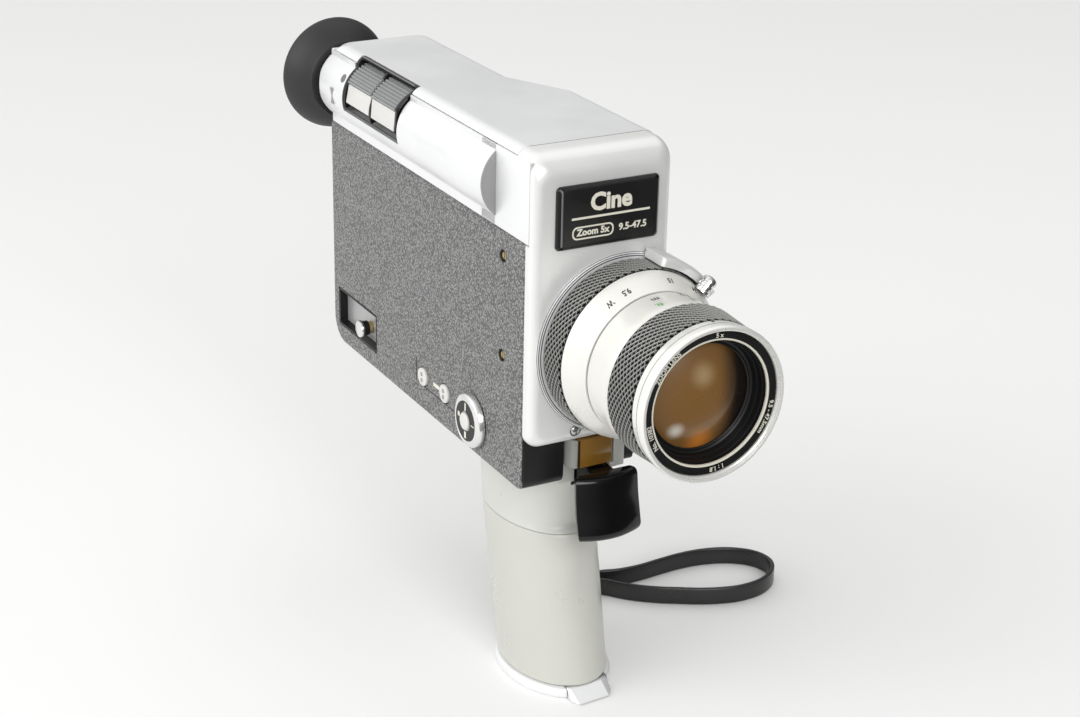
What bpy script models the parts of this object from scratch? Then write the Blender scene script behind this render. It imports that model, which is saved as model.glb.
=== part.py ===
"""A super-eight-size cine camera with a pistol grip, as an assembly of its separate pieces.

Frame: +Z up, the lens looks along -Y, the operator's right-hand side is -X. The origin is the middle of the
flat face that the grip stands on. Lengths in this file are in millimetres and are scaled to metres by MM.
"""

import math

import bmesh
import bpy
from mathutils import Matrix, Vector

MM = 0.001
GAP = 0.3  # clearance between pieces that meet

# Driving dimensions of the body
RIGHT_X = -29.2  # operator's right side, the leather plane
LEFT_X = 27.0  # operator's left side of the castings
FACE_Y = -29.5  # front face
BACK_Y = 148.0
TOP_Z = 221.4
CASTING_Z = 111.2  # underside of the front casting
BELLY_Z = 92.0  # underside of the leather-covered sides
LEATHER_TOP_Z = 188.5
COVER_Y = -15.7  # where the top cover meets the front casting
WALL = 2.0

# The lens
LENS_X, LENS_Z = 7.1, 147.7
LENS_FRONT_Y = -92.8
BEZEL_R = 28.5
GRIP_R = 32.5

# The finder bulge along the top of the right side
BULGE_X, BULGE_Z, BULGE_R = -20.8, 203.8, 15.3
BULGE_FRONT_Y = -1.0
EYE_X, EYE_Z = -19.9, 203.6
EYECUP_R = 23.7

# Zoom keys: the direction in which they stand out of the bulge
KEY_ANGLE = math.radians(155)
KEY_Y = (70.0, 121.0)

# The grip leans back by LEAN per millimetre of height
LEAN = 0.22
GRIP_X, GRIP_Y = -0.4, 0.8
GRIP_A = 19.5
GRIP_TOP_Z = 65.0
BASE_Z = 4.2

# Shutter drive
SHUTTER_X, SHUTTER_Z = 5.5, 136.0
GEAR_TEETH, PINION_TEETH, MODULE = 18, 12, 0.8
GEAR_Y = (-14.4, -12.4)

# Film door hinge
HINGE_X, HINGE_Y = 27.0, -11.2
# Battery lid hinge
LID_Y, LID_Z = 25.2, 2.1

# Wrist strap: the middle of the band as it stands on edge
STRAP_WIDTH, STRAP_THICK = 7.6, 1.8
STRAP_ROUTE = [
    (3.9, 33.2), (12, 34.6), (24, 38.2), (34, 41.2), (41, 42.0), (46, 38.9), (50.5, 33.5), (56, 28.2),
    (63, 23), (70.5, 18.6), (77.7, 14.5), (85.5, 11.3), (94, 9.3), (103, 9.7), (110.5, 12.6),
    (116, 17.5), (118.6, 23.5), (117.8, 30), (113.8, 35.8), (106.5, 40.8), (96.8, 43.9), (86.7, 44.9),
    (76.2, 44.4), (65.7, 43.6), (56, 44.3), (48.4, 46.4), (40, 47.6), (30, 46.2), (18, 41.6),
    (10, 37.9), (3.9, 36.2),
]


# ---------------------------------------------------------------- scene and materials


def clear_scene():
    for obj in list(bpy.data.objects):
        bpy.data.objects.remove(obj, do_unlink=True)


def collection(name):
    made = bpy.data.collections.new(name)
    bpy.context.scene.collection.children.link(made)
    return made


def material(name, color, roughness, metallic=0.0):
    made = bpy.data.materials.new(name)
    made.use_nodes = True
    shader = made.node_tree.nodes["Principled BSDF"]
    shader.inputs["Base Color"].default_value = (*color, 1)
    shader.inputs["Roughness"].default_value = roughness
    shader.inputs["Metallic"].default_value = metallic
    made.diffuse_color = (*color, 1)
    return made


clear_scene()
CAMERA = collection("cine_camera")
CUTTERS = collection("cutters")
SILVER = material("satin_silver", (0.80, 0.80, 0.79), 0.35, 0.9)
LEATHER = material("black_leatherette", (0.10, 0.10, 0.10), 0.65)
BLACK = material("black_plastic", (0.02, 0.02, 0.02), 0.25)
BLACK_METAL = material("black_anodised", (0.03, 0.03, 0.03), 0.4, 0.6)
WHITE_RING = material("cream_ring", (0.85, 0.83, 0.78), 0.4, 0.2)
KNURL = material("black_knurl", (0.03, 0.03, 0.03), 0.5)
GLASS = material("coated_glass", (0.45, 0.25, 0.10), 0.05)
GREY = material("grey_grip", (0.62, 0.61, 0.57), 0.5)
KEY_GREY = material("key_grey", (0.70, 0.70, 0.69), 0.4)
AMBER = material("amber_plastic", (0.60, 0.35, 0.08), 0.2)
RUBBER = material("rubber", (0.03, 0.03, 0.03), 0.7)
STEEL = material("steel", (0.55, 0.55, 0.55), 0.35, 1.0)
BRASS = material("brass", (0.60, 0.45, 0.20), 0.35, 1.0)
STRAP = material("strap_leather", (0.02, 0.02, 0.02), 0.5)


# ---------------------------------------------------------------- modelling helpers


def add(name, mesh, mat):
    """An object of this mesh in the camera's collection."""
    obj = bpy.data.objects.new(name, mesh)
    obj.data.materials.append(mat)
    CAMERA.objects.link(obj)
    return obj


def from_bmesh(name, bm, mat):
    bmesh.ops.recalc_face_normals(bm, faces=bm.faces)
    mesh = bpy.data.meshes.new(name)
    bm.to_mesh(mesh)
    bm.free()
    mesh.shade_smooth()
    mesh.set_sharp_from_angle(angle=math.radians(35))
    return add(name, mesh, mat)


def box(name, low, high, mat=SILVER):
    bm = bmesh.new()
    bmesh.ops.create_cube(bm, size=1)
    low, high = Vector(low), Vector(high)
    for v in bm.verts:
        v.co = Vector((low[k] + (high[k] - low[k]) * (v.co[k] + 0.5)) * MM for k in range(3))
    return from_bmesh(name, bm, mat)


def turned(name, profile, axis, centre, mat, steps=40):
    """A turned piece. profile is (radius, place along the axis); centre is the axis' other two coordinates."""
    area = sum(a[0] * b[1] - b[0] * a[1] for a, b in zip(profile, profile[1:] + profile[:1]))
    points = profile[::-1] if area > 0 else list(profile)
    closed = all(r > 0 for r, _ in points)
    while not closed and not (points[0][0] == 0 and points[-1][0] == 0):
        points = points[1:] + points[:1]
    mesh = bpy.data.meshes.new(name)
    count = len(points)
    edges = [(i, (i + 1) % count) for i in range(count if closed else count - 1)]
    mesh.from_pydata([(r * MM, 0, a * MM) for r, a in points], edges, [])
    obj = add(name, mesh, mat)
    a, b = centre
    obj.location = {"X": (0, a, b), "Y": (a, 0, b), "Z": (a, b, 0)}[axis]
    obj.location = obj.location * MM
    obj.rotation_euler = {"X": (0, math.pi / 2, 0), "Y": (-math.pi / 2, 0, 0), "Z": (0, 0, 0)}[axis]
    screw = obj.modifiers.new("turn", "SCREW")
    screw.steps = screw.render_steps = steps
    screw.use_merge_vertices = True
    screw.merge_threshold = 0.00001
    screw.use_smooth_shade = True
    return obj


def cylinder(name, radius, low, high, axis, centre, mat=SILVER, steps=32):
    return turned(name, [(0, high), (radius, high), (radius, low), (0, low)], axis, centre, mat, steps)


PLANES = {
    "X": lambda u, v, w: (w, u, v),  # outline in (y, z)
    "Y": lambda u, v, w: (u, w, v),  # outline in (x, z)
    "Z": lambda u, v, w: (u, v, w),  # outline in (x, y)
}


def loft(name, stations, axis, mat):
    """A closed solid through outlines with equal numbers of points. stations is [(place along axis, outline)]."""
    bm = bmesh.new()
    rings = [
        [bm.verts.new(Vector(PLANES[axis](u, v, w)) * MM) for u, v in outline] for w, outline in stations
    ]
    for low, high in zip(rings, rings[1:]):
        for i in range(len(low)):
            j = (i + 1) % len(low)
            bm.faces.new((low[i], low[j], high[j], high[i]))
    bm.faces.new(rings[0])
    bm.faces.new(rings[-1])
    bmesh.ops.triangulate(bm, faces=[f for f in bm.faces if len(f.verts) > 4])
    return from_bmesh(name, bm, mat)


def prism(name, outline, axis, low, high, mat=SILVER):
    return loft(name, [(low, outline), (high, outline)], axis, mat)


def rounded(corners, steps=4):
    """An outline with each corner (u, v, radius) turned into an arc of that radius."""
    out = []
    for i, (u, v, radius) in enumerate(corners):
        here = Vector((u, v))
        before = (Vector(corners[i - 1][:2]) - here).normalized()
        after = (Vector(corners[(i + 1) % len(corners)][:2]) - here).normalized()
        half = before.angle(after) / 2
        reach = max(radius, 0.01) / math.tan(half)
        middle = here + (before + after).normalized() * (max(radius, 0.01) / math.sin(half))
        start, end = here + before * reach - middle, here + after * reach - middle
        turn = start.angle_signed(end)
        for k in range(steps + 1):
            spun = start.copy()
            spun.rotate(Matrix.Rotation(-turn * k / steps, 2))
            out.append(tuple(middle + spun))
    return out


def arc(cx, cz, radius, start, end, count):
    """Points on a circle, angles in degrees."""
    return [
        (
            cx + radius * math.cos(math.radians(start + (end - start) * k / (count - 1))),
            cz + radius * math.sin(math.radians(start + (end - start) * k / (count - 1))),
        )
        for k in range(count)
    ]


def ellipse(cx, cy, a, b, count=36):
    return [
        (cx + a * math.cos(2 * math.pi * k / count), cy + b * math.sin(2 * math.pi * k / count))
        for k in range(count)
    ]


def boolean(obj, other, operation):
    """Adds a Boolean with a helper, which leaves the camera's collection for the cutters'."""
    CAMERA.objects.unlink(other)
    CUTTERS.objects.link(other)
    other.hide_render = True
    other.display_type = "WIRE"
    made = obj.modifiers.new(other.name, "BOOLEAN")
    made.operation = operation
    made.object = other
    return obj


def cut(obj, *others):
    for other in others:
        boolean(obj, other, "DIFFERENCE")
    return obj


def join(obj, *others):
    for other in others:
        boolean(obj, other, "UNION")
    return obj


def pivot(name, place, *children):
    """An empty on a joint's axis, which the joint's pieces hang from."""
    empty = bpy.data.objects.new(name, None)
    empty.empty_display_size = 0.01
    empty.location = Vector(place) * MM
    CAMERA.objects.link(empty)
    for child in children:
        child.parent = empty
        child.matrix_parent_inverse = Matrix.Translation(empty.location).inverted()
    return empty


def lens_axis(name, profile, mat, steps=48):
    """A piece turned about the lens axis, profile in (radius, y)."""
    return turned(name, profile, "Y", (LENS_X, LENS_Z), mat, steps)


# ---------------------------------------------------------------- body


def body_section(inset, top_inset):
    """The front view of the body, moved in by inset at the sides and bottom and by top_inset at the top."""
    x0, x1, z0, z1 = RIGHT_X + inset, LEFT_X - inset, CASTING_Z + inset, TOP_Z - top_inset
    return rounded([(x0, z0, 5), (x1, z0, 5), (x1, z1, 5), (x0, z1, 5)])


def edge_inset(depth, radius):
    """How far a rounded edge of this radius stands in, at a depth under its face."""
    return radius - math.sqrt(max(0.0, radius**2 - (radius - min(depth, radius)) ** 2))


def front_casting():
    side_radius, top_radius = 4.0, 9.0
    stations = []
    for depth in (0, 0.35, 1.2, 2.4, 4, 6, 9, -FACE_Y - 16):
        insets = edge_inset(depth, side_radius), edge_inset(depth, top_radius)
        stations.append((FACE_Y + depth, body_section(*insets)))
    casting = loft("front_casting", stations, "Y", SILVER)
    cut(
        casting,
        box("casting_hollow", (-24, FACE_Y + 4, CASTING_Z + 2.8), (24.5, -10, TOP_Z - 2.6)),
        box("casting_side_step", (-40, -26.3, LEATHER_TOP_Z - 0.2), (-27.1, -10, 218)),
        box("casting_leather_step", (-40, -23.9, 100), (-11.3, -10, LEATHER_TOP_Z + 0.3)),
        cylinder("lens_bore", 27.2, -40, -24.2, "Y", (LENS_X, LENS_Z), steps=48),
    )
    boss = [(34.4, FACE_Y + 0.02), (34.4, -23.9), (26.5, -23.9), (26.5, FACE_Y + 0.02)]
    join(casting, turned("lens_boss", boss, "Y", (LENS_X, LENS_Z), SILVER, 48))
    cut(casting, cylinder("casting_screw_hole", 3.1, -40, -27, "Y", (-10.2, 116), steps=20))


def top_outline(inset):
    """The plan of the top cover, which narrows to the rear; inset is a share of each edge's own rounding."""
    left, rear, right = 5 * inset, 6.4 * inset, 4.4 * inset
    x0, x1, x2 = RIGHT_X + left, LEFT_X + 0.2 - right, 13.9 - right
    y1 = BACK_Y - rear
    return rounded(
        [(x0, COVER_Y, 0), (x1, COVER_Y, 0), (x1, 42, 2), (x2, 70, 2), (x2, y1, 4), (x0, y1, 4)], steps=3
    )


def top_cover():
    skirt_z, edge = 205.0, 5.0
    stations = [(skirt_z, top_outline(0))]
    for k in range(5):
        angle = math.radians(90 * k / 4)
        stations.append((TOP_Z - edge + edge * math.sin(angle), top_outline(1 - math.cos(angle))))
    cover = loft("top_cover", stations, "Z", SILVER)
    inside = rounded(
        [(-27, -20, 0), (24.9, -20, 0), (24.9, 41, 2), (11.6, 69, 2), (11.6, 145.7, 3), (-27, 145.7, 3)], steps=3
    )
    cut(
        cover,
        prism("cover_hollow", inside, "Z", 200, TOP_Z - 2.2),
        box("cover_side_seam", (-40, -20, 200), (-26.9, 160, 218)),
        box("cover_rear_seam", (-40, 140, 200), (-5.4, 160, 218)),
        box("cover_key_notch", (-40, KEY_Y[0] - GAP, 200), (-24.7, KEY_Y[1] + GAP, 230)),
    )


def side_shell():
    shell = box("side_shell", (RIGHT_X, -26, LEATHER_TOP_Z + GAP), (RIGHT_X + WALL, BACK_Y, 217.7))
    join(
        shell,
        prism("bulge", arc(BULGE_X, BULGE_Z, BULGE_R, 118.5, 241.5, 15), "Y", BULGE_FRONT_Y, BACK_Y),
        box("shell_end", (RIGHT_X + 0.01, BACK_Y - WALL, LEATHER_TOP_Z + GAP), (-5.7, BACK_Y - 0.01, 217.69)),
    )
    cut(
        shell,
        cylinder("bulge_hollow", BULGE_R - 1.8, BULGE_FRONT_Y + 2, BACK_Y - 2.2, "Y", (BULGE_X, BULGE_Z)),
        cylinder("eyepiece_hole", 13.2, 140, 160, "Y", (EYE_X, EYE_Z)),
        box("shell_key_window", (-40, KEY_Y[0] - GAP, 199.7), (-20, KEY_Y[1] + GAP, 230)),
    )


def side_outline(front, rear, top, inset):
    """The side view of a leather-covered side: round at the lower rear, a small radius at the lower front."""
    y0, y1, z0, z1 = front + inset, rear - inset, BELLY_Z + inset, top - inset
    return rounded([(y0, z0, 4), (y1, z0, 10), (y1, z1, 1), (y0, z1, 1)])


def side_cover():
    front, rear = -23.6, BACK_Y - 0.1
    stations = [
        (RIGHT_X, side_outline(front, rear, LEATHER_TOP_Z, 1.4)),
        (RIGHT_X + 0.4, side_outline(front, rear, LEATHER_TOP_Z, 0.4)),
        (RIGHT_X + 1.4, side_outline(front, rear, LEATHER_TOP_Z, 0)),
        (-11.6, side_outline(front, rear, LEATHER_TOP_Z, 0)),
    ]
    cover = loft("side_cover", stations, "X", LEATHER)
    cut(
        cover,
        prism("side_hollow", side_outline(front, rear, LEATHER_TOP_Z, 2), "X", RIGHT_X + WALL, 0),
        box("window_hole", (-40, 103.1, 99.8), (-20, 141.9, 116.8)),
        cylinder("dial_hole", 3.2, -40, -20, "X", (15.2, 106.0), steps=20),
    )
    for name, place, radius in (
        ("check_hole", (58.7, 106.9), 4.4),
        ("selector_hole", (39.4, 107.2), 4.4),
        ("upper_screw_hole", (-7.1, 179), 2.3),
        ("lower_screw_hole", (-7.1, 140.7), 2.3),
    ):
        cut(cover, cylinder(name, radius, -40, -20, "X", place, steps=20))


def main_casting():
    casting = box("main_casting", (-11.3, -15.4, 103.3), (22.4, 147.9, 204.7), BLACK_METAL)
    join(casting, box("hinge_strip", (21, -15.4, 103.31), (27.8, -12.7, 204.6)))
    cut(
        casting,
        box("finder_channel", (-20, -30, LEATHER_TOP_Z), (-5.1, 160, 220)),
        box("film_chamber", (-8.9, 8, 105.8), (40, 145.4, 202.2)),
        box("shutter_bay", (-8.9, -30, 106), (20.6, 5.5, 202)),
        box("gate_opening", (3.0, 0, 144.2), (11.2, 20, 151.2)),
    )


def bottom_cover():
    outline = rounded([(-16.8, BELLY_Z, 3), (147.7, BELLY_Z, 10), (147.7, 103, 0.5), (-16.8, 103, 0.5)])
    cover = prism("bottom_cover", outline, "X", -11.3, 22.4, BLACK)
    join(cover, box("lower_hinge_strip", (21, -16.79, BELLY_Z + 3), (27.8, -12.7, 102.99)))
    cut(
        cover,
        box("neck_slot", (-20, -20, 80), (11.4, 44.3, 110)),
        box("rear_tray", (-9.3, 46.3, 94), (20.4, 140, 110)),
        box("side_tray", (13.4, -14.8, 94), (20.4, 48, 110)),
    )


def door_outline(inset):
    y0, y1, z0, z1 = -9.7 + inset, 147.6 - inset, BELLY_Z + GAP + inset, 204.6 - inset
    return rounded([(y0, z0, 2), (y1, z0, 10), (y1, z1, 3), (y0, z1, 2)])


def film_door():
    stations = [(22.7, door_outline(0)), (26.6, door_outline(0)), (27.45, door_outline(0.35)), (27.8, door_outline(1.2))]
    door = loft("film_door", stations, "X", LEATHER)
    cut(door, prism("door_hollow", door_outline(1.7), "X", 10, 26.2))
    pin = cylinder("door_hinge_pin", 1.2, 96, 200, "Z", (HINGE_X, HINGE_Y), STEEL, 16)
    latch = box("door_latch", (28.1, 135.5, 140), (30.1, 142.5, 156), SILVER)
    for k in range(4):
        z = 143.5 + 3 * k
        cut(latch, box(f"latch_groove_{k}", (29.5, 130, z), (32, 150, z + 1.2)))
    pivot("door_pivot", (HINGE_X, HINGE_Y, 148), door)
    pivot("latch_slide", (29, 139, 148), latch)
    return pin


def nameplate():
    frame = rounded([(-20.8, 186.7, 1.5), (20.5, 186.7, 1.5), (20.5, 210, 1.5), (-20.8, 210, 1.5)], steps=3)
    face = rounded([(-19.4, 187.6, 1), (20.1, 187.6, 1), (20.1, 209.4, 1), (-19.4, 209.4, 1)], steps=3)
    loft("nameplate", [(FACE_Y - 2.4, face), (FACE_Y - 1.4, frame), (FACE_Y - GAP, frame)], "Y", BLACK)


def screws():
    for name, z in (("side_screw_upper", 179), ("side_screw_lower", 140.7)):
        screw = cylinder(name, 2.0, RIGHT_X + 0.4, -26, "X", (-7.1, z), BRASS, 20)
        cut(screw, box(f"{name}_slot", (-40, -7.4, z - 3), (RIGHT_X + 1.1, -6.8, z + 3)))
    screw = turned(
        "casting_screw", [(0, -29.7), (1.8, -29.6), (2.8, -29.2), (2.8, -27.4), (0, -27.4)], "Y", (-10.2, 116), STEEL, 20
    )
    cut(
        screw,
        box("cross_a", (-12.2, -40, 115.6), (-8.2, -29, 116.4)),
        box("cross_b", (-10.6, -40, 114), (-9.8, -29, 118)),
    )


# ---------------------------------------------------------------- lens


def zoom_parts():
    lens_axis("lens_flange", [(34.4, -29.8), (34.4, -30.4), (33.6, -30.8), (28.0, -30.8), (28.0, -29.8)], SILVER)
    grip = lens_axis("zoom_grip", [(32.6, -31.1), (32.3, -43.1), (28.4, -43.1), (28.4, -31.1)], KNURL)
    scale = lens_axis(
        "zoom_scale_ring",
        [(31.9, -43.4), (31.2, -46), (29.6, -49.4), (27.6, -52.4), (27.4, -53.1), (26.4, -53.1), (26.4, -43.4)],
        WHITE_RING,
    )
    lever = cylinder("zoom_lever", 3.0, 31.9, 37.6, "Z", (0, 0), SILVER, 20)
    angle = math.radians(46)
    lever.rotation_euler = (0, math.pi / 2 - angle, 0)
    lever.location = Vector((LENS_X, -48.3, LENS_Z)) * MM
    pivot("zoom_pivot", (LENS_X, -40, LENS_Z), grip, scale, lever)
    hood = arc(LENS_X, LENS_Z, 36.6, 30, 76, 12) + arc(LENS_X, LENS_Z, 33.1, 76, 30, 12)
    prism("zoom_drive_cover", hood, "Y", -43.1, -31.1, SILVER)


def focus_parts():
    lens_axis(
        "lens_barrel",
        [
            (26.1, -24.6), (26.1, -53.0), (25.0, -53.4), (25.0, -76), (22.8, -76), (22.8, -27.0),
            (11.8, -25.9), (11.8, -16.2), (17.0, -16.2), (17.0, -24.6),
        ],
        BLACK_METAL,
    )
    ring = lens_axis(
        "focus_ring",
        [(27.3, -53.5), (28.2, -69.2), (27.0, -69.4), (27.0, -85.2), (25.4, -85.2), (25.4, -53.5)],
        WHITE_RING,
    )
    grip = lens_axis("focus_grip", [(29.05, -69.6), (28.2, -85.2), (27.3, -85.2), (27.3, -69.6)], KNURL)
    bezel = lens_axis(
        "front_bezel",
        [
            (28.0, -85.5), (BEZEL_R, -91.9), (28.2, LENS_FRONT_Y), (26.9, LENS_FRONT_Y), (26.4, -92.0),
            (26.4, -86.0), (25.4, -85.5),
        ],
        WHITE_RING,
    )
    name_ring = lens_axis("name_ring", [(26.1, -90.9), (26.1, -90.2), (23.5, -89.8), (23.5, -90.5)], BLACK)
    cell = lens_axis(
        "front_cell",
        [
            (26.1, -89.6), (26.1, -86.3), (25.1, -86.0), (25.1, -76.6), (18.4, -76.6), (18.4, -77.4),
            (20.1, -77.4), (20.1, -83.6), (23.1, -90.2), (23.1, -89.6),
        ],
        BLACK_METAL,
    )
    glass = lens_axis(
        "front_lens",
        [(0, -87.2), (6, -86.9), (12, -85.8), (17, -84.2), (19.8, -82.9), (19.8, -77.8), (0, -77.8)],
        GLASS,
    )
    pivot("focus_pivot", (LENS_X, -70, LENS_Z), ring, grip, bezel, name_ring, cell, glass)
    cell = lens_axis("variator_cell", [(21.9, -71.5), (21.9, -62), (16.3, -62), (16.3, -71.5)], BLACK_METAL, 32)
    glass = lens_axis("variator_lens", [(0, -68.5), (16, -69.6), (16, -64.2), (0, -65.4)], GLASS, 32)
    pivot("variator_slide", (LENS_X, -66, LENS_Z), cell, glass)
    lens_axis("rear_lens", [(0, -24.0), (8, -23.2), (11.5, -21.6), (11.5, -17.5), (0, -16.8)], GLASS, 32)
    box("beam_splitter", (LENS_X - 5, -37, LENS_Z - 5), (LENS_X + 5, -27.3, LENS_Z + 5), GLASS)


# ---------------------------------------------------------------- mechanism


def gear_outline(teeth, radius, turn):
    """A spur gear with straight-flanked teeth, thin enough to run with backlash."""
    pitch = 2 * math.pi / teeth
    outline = []
    for k in range(teeth):
        for share, reach in ((-0.27, -1.0), (-0.13, 0.75), (0.13, 0.75), (0.27, -1.0)):
            angle = turn + (k + share) * pitch
            r = radius + reach * MODULE
            outline.append((r * math.cos(angle), r * math.sin(angle)))
    return outline


def moved(outline, dx, dz):
    return [(x + dx, z + dz) for x, z in outline]


def gear(name, teeth, turn, centre, shaft, mat):
    """A spur gear on its shaft, in one lathe-like stack of sections so that its ends stay flat and closed."""
    radius = teeth * MODULE / 2
    outline = gear_outline(teeth, radius, turn)
    shaft_r, shaft_front, shaft_rear = shaft
    hub = [(shaft_r * math.cos(a), shaft_r * math.sin(a)) for a in (math.atan2(v, u) for u, v in outline)]
    front, rear = GEAR_Y
    stack = [(shaft_front, hub), (front, hub), (front, outline), (rear, outline), (rear, hub), (shaft_rear, hub)]
    return loft(name, [(y, moved(section, *centre)) for y, section in stack], "Y", mat)


def shutter_drive():
    motor_z = SHUTTER_Z - (GEAR_TEETH + PINION_TEETH) * MODULE / 2
    down, up = -math.pi / 2, math.pi / 2 + math.pi / PINION_TEETH
    wheel = gear("shutter_gear", GEAR_TEETH, down, (SHUTTER_X, SHUTTER_Z), (1.6, -15.8, 3.0), BRASS)
    blade = arc(SHUTTER_X, SHUTTER_Z, 14.0, -150, 60, 22) + arc(SHUTTER_X, SHUTTER_Z, 3.6, 60, 210, 10)
    disc = prism("shutter_disc", blade, "Y", -15.5, -14.9, BLACK_METAL)
    cut(disc, cylinder("disc_bore", 1.9, -20, 0, "Y", (SHUTTER_X, SHUTTER_Z), steps=16))
    pivot("shutter_pivot", (SHUTTER_X, -12, SHUTTER_Z), wheel, disc)
    pinion = gear("motor_pinion", PINION_TEETH, up, (SHUTTER_X, motor_z), (1.0, -14.55, -10.8), STEEL)
    pivot("motor_pivot", (SHUTTER_X, -12, motor_z), pinion)
    cylinder("drive_motor", 8.5, -10.4, 4.8, "Y", (SHUTTER_X, motor_z), STEEL, 32)


def film_path():
    gate = box("film_gate", (0.5, 3.8, 136), (13.7, 5.2, 160), STEEL)
    cut(gate, box("aperture", (4.2, 0, 145.7), (10.0, 20, 149.7)))
    box("pressure_plate", (1.5, 8.3, 138), (12.7, 9.6, 157), BLACK)
    spindle = turned(
        "takeup_spindle",
        [(0, -8.6), (7, -8.6), (7, -6.4), (3.2, -6.0), (3.2, 6), (2.4, 7), (2.4, 15), (1.4, 16.5), (0, 16.5)],
        "X",
        (72, 128),
        BLACK,
        24,
    )
    join(spindle, box("spindle_dog", (6, 68.4, 127.3), (14, 75.6, 128.7)))
    pivot("spindle_pivot", (0, 72, 128), spindle)


def finder():
    tube = [(9.5, 3), (9.5, 145.2), (8.3, 145.2), (8.3, 3)]
    turned("finder_tube", tube, "Y", (BULGE_X, BULGE_Z), BLACK_METAL, 24)
    ring = turned(
        "eyepiece_ring",
        [(12.9, 145.8), (12.9, 148.3), (16.2, 148.3), (16.2, 150.4), (9.9, 150.4), (9.9, 145.8)],
        "Y",
        (EYE_X, EYE_Z),
        BLACK,
    )
    lens = turned("eyepiece_lens", [(0, 146.4), (9.6, 147.2), (9.6, 149.2), (0, 150.0)], "Y", (EYE_X, EYE_Z), GLASS, 24)
    cup = turned(
        "eyecup",
        [
            (15.6, 150.7), (17.0, 152.2), (19.6, 155.0), (22.4, 159.5), (EYECUP_R, 164.2), (23.3, 165.2),
            (22.0, 164.6), (20.6, 160.3), (17.8, 156.0), (14.8, 153.2), (11.6, 152.4), (11.2, 150.7),
        ],
        "Y",
        (EYE_X, EYE_Z),
        RUBBER,
    )
    pivot("dioptre_pivot", (EYE_X, 148, EYE_Z), ring, lens, cup)


# ---------------------------------------------------------------- controls


def key_point(out, up):
    """A point of the keys' own section, out along the keys' direction and up around the bulge, in (x, z)."""
    c, s = math.cos(KEY_ANGLE), math.sin(KEY_ANGLE)
    return BULGE_X + c * out + s * up, BULGE_Z + s * out - c * up


def key_block(name, out, up, y, mat=SILVER):
    corners = [(out[0], up[0]), (out[1], up[0]), (out[1], up[1]), (out[0], up[1])]
    return prism(name, [key_point(*c) for c in corners], "Y", *y, mat)


def zoom_keys():
    y0, y1 = KEY_Y
    middle = (y0 + y1) / 2
    outer = arc(BULGE_X, BULGE_Z, BULGE_R - 0.1, 193.4, 121.5, 12) + arc(-24.2, 216.4, 4.9, 158, 100, 5)
    inner = [(-25.0, 217.6)] + arc(BULGE_X, BULGE_Z, 10.3, 108, 189, 10)
    frame = prism("zoom_button_frame", outer + inner, "Y", y0, y1, BLACK)
    spans = {"zoom_button_tele": (y0 + 1.2, middle - 0.6), "zoom_button_wide": (middle + 0.6, y1 - 1.2)}
    for name, (low, high) in spans.items():
        cut(frame, key_block(f"{name}_pocket", (4, 20), (-8.4, 8.8), (low, high)))
        face = [(math.sqrt((BULGE_R - 0.3) ** 2 - up**2), up) for up in (-8.0, -5, -2, 0.8)]
        ribbed = [(math.sqrt((BULGE_R + 0.7) ** 2 - up**2), up) for up in (1.2, 3.5, 6, 8.4)]
        section = [key_point(*p) for p in [(11.4, -8.0), *face, *ribbed, (11.4, 8.4)]]
        key = prism(name, section, "Y", low + 0.4, high - 0.4, KEY_GREY)
        pivot(f"{name}_slide", (*key_point(15, 0)[:1], (low + high) / 2, key_point(15, 0)[1]), key)


def side_controls():
    dial_at, check_at, selector_at, knob_at = (15.2, 106.0), (58.7, 106.9), (39.4, 107.2), (116.2, 106.7)
    dial = turned(
        "speed_dial",
        [
            (0, -24), (2.8, -24), (2.8, -29.5), (10.3, -29.5), (10.2, -31.0), (9.8, -31.3), (8.1, -32.0),
            (7.8, -31.8), (3.8, -31.8), (3.8, -30.9), (0, -30.9),
        ],
        "X",
        dial_at,
        SILVER,
    )
    button = turned("dial_button", [(0, -31.9), (3.5, -31.9), (3.5, -32.6), (3.2, -32.9), (0, -33.0)], "X", dial_at, SILVER, 24)
    check = cylinder("check_button", 4.1, -30.5, -27, "X", check_at, SILVER, 24)
    selector = cylinder("selector_disc", 4.1, -30.5, -27, "X", selector_at, SILVER, 24)
    cut(selector, box("selector_slot", (-40, 35, 106.7), (-30.1, 44, 107.7)))
    tray = box("window_tray", (RIGHT_X + 0.05, 103.4, 100.1), (-24.9, 141.6, 116.5), BLACK)
    cut(tray, box("tray_hollow", (-40, 104.4, 101.1), (-25.9, 140.6, 115.5)))
    knob = turned(
        "window_knob",
        [(0, -26.2), (2.6, -26.2), (2.6, -27.4), (3.1, -27.6), (3.1, -29.9), (3.6, -30.1), (3.6, -31.5), (3.2, -31.8), (0, -31.8)],
        "X",
        knob_at,
        STEEL,
        24,
    )
    for piece, (y, z) in ((dial, dial_at), (button, dial_at), (check, check_at), (selector, selector_at), (knob, knob_at)):
        pivot(f"{piece.name}_pivot", (RIGHT_X, y, z), piece)


# ---------------------------------------------------------------- grip


def grip_section(z, grow=0.0, scale=1.0):
    """The grip's section at a height: an ellipse that leans back and grows a little to the top."""
    return ellipse(GRIP_X, GRIP_Y + LEAN * z, (GRIP_A + grow) * scale, (27.4 + 0.035 * z + grow) * scale)


def neck_section(front, rear, half_width):
    return ellipse(GRIP_X, (front + rear) / 2, half_width, (rear - front) / 2)


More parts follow.
